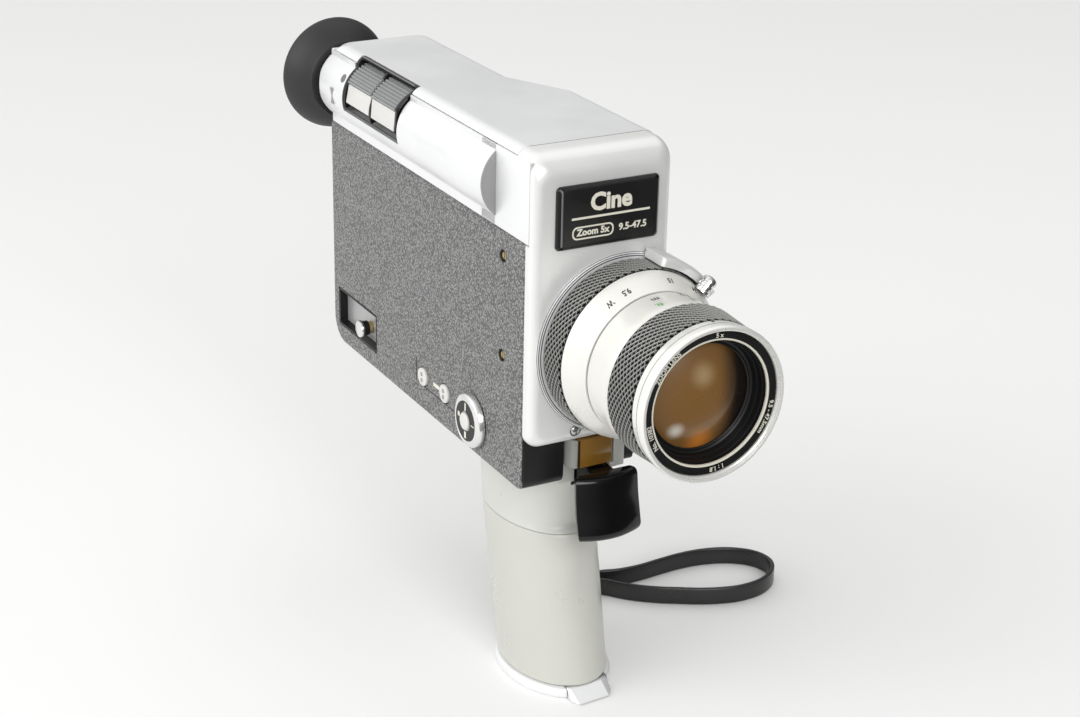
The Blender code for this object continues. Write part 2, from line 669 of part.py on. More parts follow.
def grip():
    shell = loft("grip_shell", [(z, grip_section(z)) for z in (BASE_Z + GAP, 34, GRIP_TOP_Z)], "Z", GREY)
    join(
        shell,
        box("lug_root", (-3.5, 28.0, 4.7), (3.5, 37.2, 8.8)),
        box("strap_lug", (-3.49, 32.2, 0.6), (3.49, 37.19, 8.79)),
    )
    cut(shell, loft("grip_hollow", [(z, grip_section(z, -2.2)) for z in (-2, 70)], "Z", GREY))

    neck = loft(
        "grip_neck",
        [
            (65.3, neck_section(-14.0, 45.2, 19.4)), (66.2, neck_section(-12.9, 45.3, 19.0)),
            (69, neck_section(-12.2, 45.8, 18.9)), (80, neck_section(-14.0, 48.0, 18.9)),
            (91.7, neck_section(-17.6, 50.0, 18.8)),
        ],
        "Z",
        GREY,
    )
    cheek = [(-8.3, -28.2), (-9.2, -27.9), (-10.2, -26.5), (-10.9, -23.5), (-11.08, -20), (-11.08, -16.5), (-8.3, -16.5)]
    join(
        neck,
        box("neck_head", (-11.1, -18, 89), (11.1, 44, 103)),
        box("neck_lip", (-11.09, -17.99, 100), (11.09, -15.7, 110.9)),
        prism("neck_cheek", cheek, "Z", 99.6, 110.89),
    )
    cut(neck, box("trigger_slot", (-3.7, -30, 86.5), (6.2, 1, 99.2)))


def lid_outline(grow):
    """The lid's outline, an ellipse cut straight in front of its hinge."""
    return [(x, min(y, 21.3 + grow)) for x, y in ellipse(GRIP_X, GRIP_Y, 16.6 + grow, 23.9 + grow)]


def battery_compartment():
    cell_r, spacing, bottom = 7.25, 7.5, 8.8
    plate = rounded([(-12.5, -12.5, 4), (12.5, -12.5, 4), (12.5, 12.5, 4), (-12.5, 12.5, 4)], steps=3)
    pack = prism("battery_pack", plate, "Z", 0, 1.6, BLACK)
    extras = [prism("pack_top", plate, "Z", 50.6, 52.2)]
    for i, x in enumerate((-spacing, spacing)):
        for j, y in enumerate((-spacing, spacing)):
            extras.append(cylinder(f"cell_{i}{j}", cell_r, 1.0, 51.5, "Z", (x, y), steps=20))
    lean = Matrix.Translation(Vector((GRIP_X, GRIP_Y + LEAN * bottom, bottom)) * MM) @ Matrix.Rotation(
        -math.atan(LEAN), 4, "X"
    )
    for part in (pack, *extras):
        part.matrix_world = lean @ part.matrix_basis
    join(pack, *extras)

    ring = loft(
        "base_ring",
        [
            (0, ellipse(GRIP_X, GRIP_Y, 19.8, 27.5)), (0.9, ellipse(GRIP_X, GRIP_Y, 20.7, 28.4)),
            (3.0, ellipse(GRIP_X, GRIP_Y, 20.8, 28.5)), (BASE_Z, ellipse(GRIP_X, GRIP_Y, 20.0, 27.9)),
        ],
        "Z",
        SILVER,
    )
    swing_room = [
        (x, min(y + 0.025 * max(0.0, y - GRIP_Y), 22.3)) for x, y in ellipse(GRIP_X, GRIP_Y, 16.6 + GAP, 23.9 + GAP)
    ]
    opening = prism("lid_opening", swing_room, "Z", -5, 10)
    cut(
        ring,
        opening,
        box("hinge_notch", (-4.9, 15, -5), (4.9, 27.2, 10)),
        box("latch_notch", (-8.4, -40, -5), (10.7, -17, 10)),
    )
    join(ring, cylinder("lid_hinge_pin", 0.8, -6.8, 6.8, "X", (LID_Y, LID_Z), STEEL, 12))
    lid = prism("battery_lid", lid_outline(0), "Z", 0, 3.9, SILVER)
    join(
        lid,
        box("lid_bridge", (-4.5, 18, 0.3), (4.5, LID_Y, 3.89)),
        cylinder("lid_knuckle", 1.75, -4.51, 4.51, "X", (LID_Y, LID_Z), steps=24),
    )
    cut(lid, cylinder("knuckle_bore", 1.1, -10, 10, "X", (LID_Y, LID_Z), steps=16))
    latch = loft(
        "lid_latch",
        [
            (0.4, [(-8.0, -23.6), (-8.0, -28.6), (-6.3, -32.3), (7.0, -31.4), (10.0, -28.0), (10.3, -22.0), (7.0, -23.6)]),
            (1.0, [(-8.0, -23.6), (-8.0, -28.4), (-6.3, -31.8), (7.0, -30.9), (10.0, -27.6), (10.3, -22.0), (7.0, -23.6)]),
            (BASE_Z, [(-8.0, -23.6), (-8.0, -24.6), (-6.3, -25.4), (7.0, -25.0), (9.9, -23.9), (10.3, -22.0), (7.0, -23.6)]),
        ],
        "Z",
        SILVER,
    )
    pivot("lid_pivot", (0, LID_Y, LID_Z), lid)
    pivot("latch_pivot", (-0.5, -26, 2), latch)


def trigger_group():
    plate = arc(0.2, -7.5, 31.0, -115.4, -64.6, 11) + [(13.2, -33.4), (12.7, -33.0), (-12.3, -33.0), (-12.8, -33.4)]
    trigger = loft(
        "trigger",
        [(z, [(0.2 + (x - 0.2) * s, y + push) for x, y in plate]) for z, s, push in (
            (74.6, 0.86, -2.2), (75.8, 0.96, -3.2), (78, 1.0, -3.5), (88, 1.0, -1.2), (97.6, 0.98, 0), (99.0, 0.93, 0.5)
        )],
        "Z",
        BLACK,
    )
    join(trigger, box("trigger_stem", (-3.2, -34.5, 88), (5.2, -12.5, 98.6)))
    pivot("trigger_slide", (0, -36, 88), trigger)
    coil = bpy.data.curves.new("trigger_spring", "CURVE")
    coil.dimensions = "3D"
    coil.bevel_depth = 0.35 * MM
    coil.bevel_resolution = 1
    coil.use_fill_caps = True
    coil.materials.append(STEEL)
    turns, per_turn, length = 4, 10, 11.6
    spline = coil.splines.new("POLY")
    spline.points.add(turns * per_turn)
    for k, point in enumerate(spline.points):
        angle = 2 * math.pi * k / per_turn
        along = -11.8 + length * k / (turns * per_turn)
        point.co = (*(Vector((1 + 2.6 * math.cos(angle), along, 93 + 2.6 * math.sin(angle))) * MM), 1)
    CAMERA.objects.link(bpy.data.objects.new("trigger_spring", coil))
    box("amber_window", (-7.9, -28.4, 99.5), (6.3, -18.3, 110.9), AMBER)
    lock = box("run_lock", (7.0, -28.4, 97.4), (11.6, -25.4, 110.9), GREY)
    join(lock, box("run_lock_foot", (5.6, -28.39, 97.41), (8, -25.41, 99.1)))
    pivot("run_lock_slide", (9, -27, 104), lock)


def smooth_route(points, per_leg=2):
    """A Catmull-Rom curve through the points."""
    ends = [points[0], *points, points[-1]]
    out = []
    for a, b, c, d in zip(ends, ends[1:], ends[2:], ends[3:]):
        for k in range(per_leg):
            t = k / per_leg
            out.append(
                tuple(
                    0.5 * (2 * b[i] + (c[i] - a[i]) * t + (2 * a[i] - 5 * b[i] + 4 * c[i] - d[i]) * t**2
                           + (3 * b[i] - a[i] - 3 * c[i] + d[i]) * t**3)
                    for i in range(2)
                )
            )
    return [*out, points[-1]]


def wrist_strap():
    """The strap's band stands on edge on the surface that the camera stands on."""
    curve = bpy.data.curves.new("strap_band", "CURVE")
    curve.dimensions = "3D"
    curve.extrude = STRAP_WIDTH / 2 * MM
    spline = curve.splines.new("POLY")
    route = smooth_route(STRAP_ROUTE)
    spline.points.add(len(route) - 1)
    for point, (x, y) in zip(spline.points, route):
        point.co = (x * MM, y * MM, (STRAP_WIDTH / 2 + 0.2) * MM, 1)
    ribbon = bpy.data.objects.new("strap_ribbon", curve)
    mesh = bpy.data.meshes.new_from_object(ribbon)
    bpy.data.objects.remove(ribbon)
    strap = add("wrist_strap", mesh, STRAP)
    thick = strap.modifiers.new("thickness", "SOLIDIFY")
    thick.thickness = STRAP_THICK * MM
    thick.offset = 0


front_casting()
top_cover()
side_shell()
side_cover()
main_casting()
bottom_cover()
film_door()
nameplate()
screws()
zoom_parts()
focus_parts()
shutter_drive()
film_path()
finder()
zoom_keys()
side_controls()
grip()
battery_compartment()
trigger_group()
wrist_strap()
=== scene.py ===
"""A studio picture of the cine camera: fine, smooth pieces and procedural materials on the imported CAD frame.

Frame: +Z up, the lens looks along -Y, the operator's right-hand side is -X. Lengths here are in millimetres
and are scaled to metres by MM.
"""

import math

import bmesh
import bpy
from mathutils import Matrix, Vector


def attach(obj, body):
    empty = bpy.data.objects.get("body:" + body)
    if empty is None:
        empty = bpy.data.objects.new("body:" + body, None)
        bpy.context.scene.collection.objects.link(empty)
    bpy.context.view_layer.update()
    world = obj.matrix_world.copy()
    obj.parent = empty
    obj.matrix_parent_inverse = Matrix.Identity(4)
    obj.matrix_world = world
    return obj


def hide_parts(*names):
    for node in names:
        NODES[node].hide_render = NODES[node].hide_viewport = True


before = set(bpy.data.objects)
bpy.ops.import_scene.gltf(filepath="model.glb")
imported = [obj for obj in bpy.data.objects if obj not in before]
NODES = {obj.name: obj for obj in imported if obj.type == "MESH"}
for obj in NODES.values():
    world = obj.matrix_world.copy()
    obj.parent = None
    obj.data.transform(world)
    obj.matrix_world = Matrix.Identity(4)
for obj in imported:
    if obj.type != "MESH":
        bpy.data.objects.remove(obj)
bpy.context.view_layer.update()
MM = 0.001

RIGHT_X, LEFT_X = -29.2, 27.0
FACE_Y, BACK_Y = -29.5, 148.0
TOP_Z, CASTING_Z, BELLY_Z, LEATHER_TOP_Z = 221.4, 111.2, 92.0, 188.5
LENS_X, LENS_Z = 7.1, 147.7
LENS = (LENS_X, LENS_Z)
TOP_FRONT_Y, CASTING_DEPTH = -15.7, 13.5
BULGE_X, BULGE_Z, BULGE_R = -19.9, 204.4, 15.3
BULGE_FOOT_Z, BULGE_TOP_Z = LEATHER_TOP_Z + 0.3, 218.6
EYE = (-19.9, 203.6)
SCREW_Y, SCREW_ZS = -7.1, (179, 140.7)
CASTING_SCREW = (-10.2, 116)
DIAL_AT, CHECK_AT, SELECTOR_AT, KNOB_AT = (15.2, 106.0), (58.7, 106.9), (39.4, 107.2), (116.2, 106.7)
LID_HINGE = (25.2, 2.1)
KEY_STEP = 1.3
KNURL_DEPTH, KNURL_CELL = 0.75, 8
KEY_ANGLE = math.radians(155)
KEY_Y = (70.0, 121.0)
GRIP_X, GRIP_Y, GRIP_A, LEAN = -0.4, 0.8, 19.5, 0.22
STRAP_WIDTH, STRAP_THICK, STRAP_LIFT = 7.6, 1.8, 0.2
# The strap's middle line on the floor, from its lug out round the loop and back.
STRAP_ROUTE = [
    (3.9, 33.2), (12, 34.6), (24, 38.2), (34, 41.2), (41, 42.0), (46, 38.9), (50.5, 33.5), (56, 28.2),
    (63, 23), (70.5, 18.6), (77.7, 14.5), (85.5, 11.3), (94, 9.3), (103, 9.7), (110.5, 12.6),
    (116, 17.5), (118.6, 23.5), (117.8, 30), (113.8, 35.8), (106.5, 40.8), (96.8, 43.9), (86.7, 44.9),
    (76.2, 44.4), (65.7, 43.6), (56, 44.3), (48.4, 46.4), (40, 47.6), (30, 46.2), (18, 41.6),
    (10, 37.9), (3.9, 36.2),
]

WORLD_DARK, WORLD_BRIGHT = 0.10, 1.22
# Each lamp's name, place, target and size in metres, and its power in watts.
LAMPS = (
    ("key_right", (-1.6, 0.3, 1.1), (0, 0.05, 0.12), (1.4, 1.2), 10),
    ("front_fill", (-0.5, -2.4, 1.3), (0, 0, 0.15), (1.6, 1.2), 36),
    ("top_soft", (0.9, 0.3, 1.9), (0.1, 0.1, 0.0), (1.6, 1.6), 5),
)

# The picture's camera: its place in metres, its focal length and sensor width, and its axes.
CAMERA_PLACE, CAMERA_LENS, CAMERA_SENSOR = (-0.3583, -0.6323, 0.4343), 70.217, 36.0
CAMERA_RIGHT = Vector((0.879238, -0.475983, 0.019526))
CAMERA_DOWN = Vector((-0.167431, -0.347131, -0.922750))
CAMERA_AHEAD = Vector((0.445991, 0.808047, -0.384905))

# ---------------------------------------------------------------- materials


def nodes_of(name):
    made = bpy.data.materials.new(name)
    made.use_nodes = True
    tree = made.node_tree
    return made, tree, tree.nodes["Principled BSDF"]


def add_node(tree, kind, **values):
    node = tree.nodes.new("ShaderNode" + kind)
    for key, value in values.items():
        if key in node.inputs:
            node.inputs[key].default_value = value
        else:
            setattr(node, key, value)
    return node


def fill(node, **values):
    """Sets sockets by name, with _ for each space."""
    for socket, value in values.items():
        node.inputs[socket.replace("_", " ")].default_value = value


def object_place(tree):
    return add_node(tree, "TexCoord").outputs["Object"]


def noise(tree, scale, detail=4.0, rough=0.5, socket="Fac"):
    node = add_node(tree, "TexNoise", Scale=scale, Detail=detail, Roughness=rough)
    tree.links.new(object_place(tree), node.inputs["Vector"])
    return node.outputs[socket]


def smooth_step(tree, source, start, end, low=0.0, high=1.0):
    """A value that goes smoothly from low to high as the source goes from start to end."""
    node = add_node(tree, "MapRange", interpolation_type="SMOOTHSTEP")
    fill(node, From_Min=start, From_Max=end, To_Min=low, To_Max=high)
    tree.links.new(source, node.inputs["Value"])
    return node.outputs["Result"]


def ramp(tree, source, low, high):
    """Maps the middle of a texture's range to low..high."""
    return smooth_step(tree, source, 0.3, 0.7, low, high)


def two_tone(tree, share, low, high):
    """A colour that goes from low to high as share goes from 0 to 1."""
    mix = add_node(tree, "Mix", data_type="RGBA")
    fill(mix, A=(*low, 1), B=(*high, 1))
    tree.links.new(share, mix.inputs["Factor"])
    return mix.outputs["Result"]


def uneven_gloss(tree, shader, scale, low, high):
    """Roughness that drifts between low and high."""
    tree.links.new(ramp(tree, noise(tree, scale), low, high), shader.inputs["Roughness"])


def bump_from(tree, shader, source, strength, distance, invert=False):
    bump = add_node(tree, "Bump", Strength=strength, Distance=distance)
    bump.invert = invert
    tree.links.new(source, bump.inputs["Height"])
    tree.links.new(bump.outputs["Normal"], shader.inputs["Normal"])


def surface(
    name, color, roughness, metallic=0.0, coat=0.0, vary=0.05, grain=(1500, 0.08, 0.00004), wear=0.05, shine=0.5
):
    """A worn, slightly grainy surface: colour and roughness drift over it and fine grain bumps it."""
    made, tree, shader = nodes_of(name)
    broad = noise(tree, 35, 5, 0.6)
    darker = [c * (1 - vary) for c in color]
    lighter = [min(1, c * (1 + vary)) for c in color]
    tree.links.new(two_tone(tree, broad, darker, lighter), shader.inputs["Base Color"])
    tree.links.new(ramp(tree, broad, roughness - wear, roughness + wear), shader.inputs["Roughness"])
    scale, strength, distance = grain
    bump_from(tree, shader, noise(tree, scale, 3), strength, distance)
    fill(shader, Metallic=metallic, Coat_Weight=coat, Coat_Roughness=0.08, Specular_IOR_Level=shine)
    return made


def leatherette():
    """Pressed plastic leather: small rounded pebbles with fine grain between them."""
    made, tree, shader = nodes_of("leatherette")
    pebble = add_node(tree, "TexVoronoi", Scale=1250.0, feature="SMOOTH_F1")
    fill(pebble, Smoothness=0.4)
    push = add_node(tree, "VectorMath", operation="SCALE")
    fill(push, Scale=0.0009)
    tree.links.new(noise(tree, 700, 3, socket="Color"), push.inputs[0])
    moved = add_node(tree, "VectorMath", operation="ADD")
    tree.links.new(object_place(tree), moved.inputs[0])
    tree.links.new(push.outputs["Vector"], moved.inputs[1])
    tree.links.new(moved.outputs["Vector"], pebble.inputs["Vector"])
    height = add_node(tree, "Math", operation="MULTIPLY_ADD")
    height.inputs[1].default_value = 0.6
    tree.links.new(noise(tree, 2600, 4, 0.7), height.inputs[0])
    tree.links.new(pebble.outputs["Distance"], height.inputs[2])
    tops = smooth_step(tree, height.outputs["Value"], 0.45, 0.95, 1.0, 0.0)
    color = two_tone(tree, tops, (0.07, 0.07, 0.07), (0.33, 0.33, 0.325))
    tree.links.new(color, shader.inputs["Base Color"])
    bump_from(tree, shader, height.outputs["Value"], 0.9, 0.00035, invert=True)
    fill(shader, Roughness=0.45, Specular_IOR_Level=0.7)
    return made


def knurl_rubber():
    """A moulded net whose colour carries painted light: painted shade makes the pits near-black and a painted
    highlight makes the ridges light grey; the mesh marks the ridges in its height layer.
    """
    made, tree, shader = nodes_of("knurl_rubber")
    tip = add_node(tree, "Attribute", attribute_name="height").outputs["Fac"]
    # Painted light: near-black painted shade in the pits, light grey painted highlight on the ridges.
    color = two_tone(tree, tip, (0.004, 0.004, 0.004), (0.42, 0.42, 0.40))
    tree.links.new(color, shader.inputs["Base Color"])
    tree.links.new(tip, shader.inputs["Specular IOR Level"])
    uneven_gloss(tree, shader, 400, 0.24, 0.4)
    return made


def clear_glass():
    made, tree, shader = nodes_of("clear_glass")
    fill(shader, Base_Color=(1.0, 0.93, 0.80, 1), Transmission_Weight=1.0, IOR=1.5)
    uneven_gloss(tree, shader, 60, 0.0, 0.015)
    return made


def coated_front_painted_light():
    """The front element: an amber mirror with painted light in its colour: painted shade darkens the +X side,
    and painted reflections add a pale highlight high up, an orange glow low in the middle and a pale window
    reflection low towards -X.
    """
    made, tree, shader = nodes_of("coated_front_painted_light")
    split = add_node(tree, "SeparateXYZ")
    tree.links.new(object_place(tree), split.inputs["Vector"])
    flat = add_node(tree, "CombineXYZ")
    tree.links.new(split.outputs["X"], flat.inputs["X"])
    tree.links.new(split.outputs["Z"], flat.inputs["Z"])
    # Painted shade: the colour turns near-black towards the +X side.
    across = smooth_step(tree, split.outputs["X"], (LENS_X + 4) * MM, (LENS_X + 15) * MM)
    color = two_tone(tree, across, (0.20, 0.100, 0.028), (0.010, 0.006, 0.004))
    # Painted reflections: a pale highlight high up, an orange glow low in the middle and a pale window
    # reflection low towards -X.
    painted_reflections = (
        ((6.3, 156.7), 6.5, 0.7, (0.42, 0.30, 0.16)),
        ((7.0, 131.0), 7.5, 0.9, (0.62, 0.21, 0.03)),
        ((-3.0, 137.1), 4.2, 0.95, (0.62, 0.58, 0.50)),
    )
    for (x, z), reach, power, tint in painted_reflections:
        away = add_node(tree, "VectorMath", operation="DISTANCE")
        tree.links.new(flat.outputs["Vector"], away.inputs[0])
        away.inputs[1].default_value = (x * MM, 0, z * MM)
        mix = add_node(tree, "Mix", data_type="RGBA")
        tree.links.new(color, mix.inputs["A"])
        fill(mix, B=(*tint, 1))
        share = smooth_step(tree, away.outputs["Value"], reach * MM, 0.0, 0.0, power)
        tree.links.new(share, mix.inputs["Factor"])
        color = mix.outputs["Result"]
    tree.links.new(color, shader.inputs["Base Color"])
    fill(shader, Coat_Weight=0.3, Coat_Roughness=0.03)
    uneven_gloss(tree, shader, 25, 0.25, 0.35)
    return made


SILVER = surface("satin_silver", (0.84, 0.845, 0.85), 0.36, 0.45, vary=0.03, grain=(2600, 0.10, 0.00003))
CASTING = surface("silver_casting_paint", (0.78, 0.78, 0.77), 0.34, 0.3, vary=0.03, grain=(2600, 0.10, 0.00003))
POLISHED = surface("polished_aluminium", (0.80, 0.80, 0.79), 0.20, 1.0, vary=0.04, grain=(3000, 0.06, 0.00002))
LEATHER = leatherette()
CREAM = surface(
    "cream_enamel", (0.74, 0.73, 0.69), 0.32, 0.15, coat=0.3, vary=0.02, grain=(2200, 0.05, 0.00002)
)
BEZEL = surface("bezel_silver", (0.80, 0.795, 0.765), 0.28, 0.3, coat=0.2, vary=0.03)
KNURL = knurl_rubber()
GLOSS = surface(
    "gloss_black", (0.003, 0.003, 0.003), 0.14, coat=0.1, vary=0.3, grain=(900, 0.03, 0.00003), wear=0.03,
    shine=0.3,
)
BLACK = surface("satin_black", (0.010, 0.010, 0.010), 0.34, vary=0.3, shine=0.25)
MATT = surface("matt_black", (0.006, 0.006, 0.006), 0.6, vary=0.3)
ANODISED = surface("black_anodised", (0.010, 0.010, 0.011), 0.38, 0.4, vary=0.3)
PLATE = surface("nameplate_black", (0.008, 0.008, 0.008), 0.30, vary=0.2)
RUBBER = surface("rubber", (0.012, 0.012, 0.013), 0.50, vary=0.25, grain=(700, 0.22, 0.00008))
GRIP = surface("grip_grey", (0.52, 0.52, 0.475), 0.32, coat=0.25, vary=0.03, grain=(1800, 0.08, 0.00003))
NECK = surface("neck_grey", (0.55, 0.555, 0.52), 0.32, coat=0.25, vary=0.03, grain=(1800, 0.08, 0.00003))
KEY_GREY = surface("key_light", (0.64, 0.63, 0.61), 0.35, coat=0.15, vary=0.03)
RIB_GREY = surface("key_ribs", (0.29, 0.30, 0.30), 0.35, 0.3, vary=0.06)
AMBER = surface("amber_plastic", (0.25, 0.125, 0.020), 0.16, coat=0.6, vary=0.25, grain=(300, 0.1, 0.0001))
STRAP = surface("strap_black", (0.008, 0.007, 0.007), 0.30, coat=0.1, vary=0.3, grain=(900, 0.35, 0.0001))
STEEL = surface("steel", (0.55, 0.55, 0.54), 0.28, 1.0, vary=0.08)
BRASS = surface("brass", (0.55, 0.42, 0.20), 0.30, 1.0, vary=0.12)
GREY_PRINT = surface("print_grey", (0.04, 0.04, 0.04), 0.5, vary=0.1)
WHITE_PRINT = surface("print_white", (0.72, 0.70, 0.60), 0.5, vary=0.05)
GREEN_PRINT = surface("print_green", (0.16, 0.42, 0.14), 0.5, vary=0.1)
TRAY_FLOOR = surface("tray_floor", (0.42, 0.42, 0.42), 0.3, 0.4, vary=0.1)
CELL_SLEEVE = surface("cell_sleeve", (0.10, 0.12, 0.16), 0.35, 0.2, vary=0.2)
CLEAR = clear_glass()
COATING = surface("amber_coating", (0.30, 0.15, 0.05), 0.18, 0.6, vary=0.2)
FRONT_GLASS = coated_front_painted_light()
# Painted shade for the bulge's front half-moon face, which is the same silver as the bulge; also the grey of
# the flank mark.
MOON_SHADE_AND_MARK_GREY = surface("half_moon_shade_and_mark_grey", (0.34, 0.34, 0.34), 0.38, 0.6, vary=0.05)
# A grey used only for painted light: a highlight on the nameplate's left bevel and along the key frame's top
# edge, and shade in the flank dimple and round the cap dimples.
GREY_PAINTED_LIGHT = surface("painted_light_grey", (0.20, 0.20, 0.20), 0.35, 0.6, vary=0.08)
# A darker copy of the neck grey: painted shade for the cheek under the casting.
NECK_SHADE_GREY = surface("neck_grey_painted_shade", (0.26, 0.26, 0.24), 0.34, coat=0.2, vary=0.04)

# ---------------------------------------------------------------- shapes


def add_object(name, data):
    obj = bpy.data.objects.new(name, data)
    bpy.context.scene.collection.objects.link(obj)
    return obj


def evaluated_mesh(obj):
    """The object's mesh after its modifiers, or made from its text."""
    bpy.context.view_layer.update()
    return bpy.data.meshes.new_from_object(obj.evaluated_get(bpy.context.evaluated_depsgraph_get()))


def put(name, mesh, mat, body, replaces=(), smooth=35):
    """A finished piece: shaded, painted, riding on its CAD body and standing for the CAD nodes named."""
    obj = add_object(name, mesh)
    mesh.materials.clear()
    mesh.materials.append(mat)
    if smooth:
        mesh.shade_smooth()
        mesh.set_sharp_from_angle(angle=math.radians(smooth))
    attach(obj, body)
    if replaces:
        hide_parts(*replaces)
    return obj


def finish_bmesh(bm):
    """The bmesh as a mesh, with its faces turned outwards."""
    bmesh.ops.recalc_face_normals(bm, faces=bm.faces)
    mesh = bpy.data.meshes.new("shape")
    bm.to_mesh(mesh)
    bm.free()
    return mesh


def round_edges(bm, edges, radius):
    bmesh.ops.bevel(
        bm, geom=edges, offset=radius * MM, segments=3, profile=0.5, affect="EDGES", clamp_overlap=True
    )


def box_mesh(low, high, bevel=0.0):
    bm = bmesh.new()
    bmesh.ops.create_cube(bm, size=1)
    for v in bm.verts:
        v.co = Vector([(low[k] + (high[k] - low[k]) * (v.co[k] + 0.5)) * MM for k in range(3)])
    if bevel:
        round_edges(bm, bm.edges[:], bevel)
    return finish_bmesh(bm)


AXES = {
    "X": lambda u, v, w: (w, u, v),
    "Y": lambda u, v, w: (u, w, v),
    "Z": lambda u, v, w: (u, v, w),
}


def skin(bm, rings):
    """Quads between each ring of points and the next."""
    for low, high in zip(rings, rings[1:]):
        for i in range(len(low)):
            j = (i + 1) % len(low)
            bm.faces.new((low[i], low[j], high[j], high[i]))


def loft_mesh(stations, axis):
    """A closed mesh through outlines with equal numbers of points, as [(place along the axis, outline)]."""
    bm = bmesh.new()
    rings = [[bm.verts.new(Vector(AXES[axis](u, v, w)) * MM) for u, v in outline] for w, outline in stations]
    skin(bm, rings)
    bm.faces.new(rings[0])
    bm.faces.new(rings[-1])
    return finish_bmesh(bm)


def prism_mesh(outline, axis, low, high, bevel=0.0):
    """A prism whose two ends have a small rounded edge when bevel is given."""
    mesh = loft_mesh([(low, outline), (high, outline)], axis)
    if bevel:
        bm = bmesh.new()
        bm.from_mesh(mesh)
        caps = [f for f in bm.faces if len(f.verts) == len(outline)]
        round_edges(bm, list({e for f in caps for e in f.edges}), bevel)
        mesh = finish_bmesh(bm)
    return mesh


def turned_mesh(profile, axis, centre, steps=160):
    """A turned mesh. profile is (radius, place along the axis); a radius of 0 closes it on the axis."""
    bm = bmesh.new()
    a, b = centre
    rings = []
    for r, w in profile:
        if r == 0:
            rings.append([bm.verts.new(Vector(AXES[axis](a, b, w)) * MM)])
            continue
        turns = [2 * math.pi * k / steps for k in range(steps)]
        points = [Vector(AXES[axis](a + r * math.cos(t), b + r * math.sin(t), w)) for t in turns]
        rings.append([bm.verts.new(point * MM) for point in points])
    loop = profile[0][0] > 0 and profile[-1][0] > 0
    pairs = list(zip(rings, rings[1:])) + ([(rings[-1], rings[0])] if loop else [])
    for low, high in pairs:
        for i in range(steps):
            j = (i + 1) % steps
            corners = [low[i % len(low)], low[j % len(low)], high[j % len(high)], high[i % len(high)]]
            unique = list(dict.fromkeys(corners))
            if len(unique) > 2:
                bm.faces.new(unique)
    return finish_bmesh(bm)


def cut(mesh, *others, operation="DIFFERENCE"):
    """The mesh with the others cut from it, or joined to it."""
    base = add_object("base", mesh)
    helpers = [add_object("helper", other) for other in others]
    for helper in helpers:
        modifier = base.modifiers.new("cut", "BOOLEAN")
        modifier.operation = operation
        modifier.object = helper
    result = evaluated_mesh(base)
    for obj in (base, *helpers):
        bpy.data.objects.remove(obj)
    return result


def cylinder_mesh(radius, low, high, axis, centre, steps=64):
    return turned_mesh([(0, low), (radius, low), (radius, high), (0, high)], axis, centre, steps)


def rounded(corners, steps=8):
    """An outline with each corner (u, v, radius) turned into an arc."""
    out = []
    for i, (u, v, radius) in enumerate(corners):
        here = Vector((u, v))
        before = (Vector(corners[i - 1][:2]) - here).normalized()
        after = (Vector(corners[(i + 1) % len(corners)][:2]) - here).normalized()
        half = before.angle(after) / 2
        radius = max(radius, 0.01)
        middle = here + (before + after).normalized() * (radius / math.sin(half))
        start, end = (here + d * (radius / math.tan(half)) - middle for d in (before, after))
        turn = start.angle_signed(end)
        for k in range(steps + 1):
            spun = start.copy()
            spun.rotate(Matrix.Rotation(-turn * k / steps, 2))
            out.append(tuple(middle + spun))
    return out


def arc(cx, cz, radius, start, end, count):
    turns = [math.radians(start + (end - start) * k / (count - 1)) for k in range(count)]
    return [(cx + radius * math.cos(t), cz + radius * math.sin(t)) for t in turns]


def ellipse(cx, cy, a, b, count=128):
    turns = [2 * math.pi * k / count for k in range(count)]
    return [(cx + a * math.cos(t), cy + b * math.sin(t)) for t in turns]


def edge_inset(depth, radius):
    """How far a rounded edge of this radius stands in at a depth under its face."""
    return radius - math.sqrt(max(0.0, radius**2 - (radius - min(depth, radius)) ** 2))


def depths(radius, count, last):
    """Depths that follow a rounded edge evenly, then one last depth."""
    return [radius * (1 - math.cos(math.pi / 2 * k / count)) for k in range(count + 1)] + [last]


def stand_out(mesh, centre, angle, y, radius):
    """Stands a mesh made around the origin, +Z outwards, on a round part whose axis runs along Y."""
    a = math.radians(angle)
    out, along = Vector((math.cos(a), 0, math.sin(a))), Vector((0, 1, 0))
    side = along.cross(out)
    place = Vector((centre[0], y, centre[1])) + out * radius
    mesh.transform(Matrix.Translation(place * MM) @ Matrix((side, along, out)).transposed().to_4x4())


# ---------------------------------------------------------------- body shells


def body_section(inset, top_inset):
    x0, x1, z0, z1 = RIGHT_X + inset, LEFT_X - inset, CASTING_Z + inset, TOP_Z - top_inset
    return rounded([(x0, z0, 5), (x1, z0, 5), (x1, z1, 5), (x0, z1, 5)])


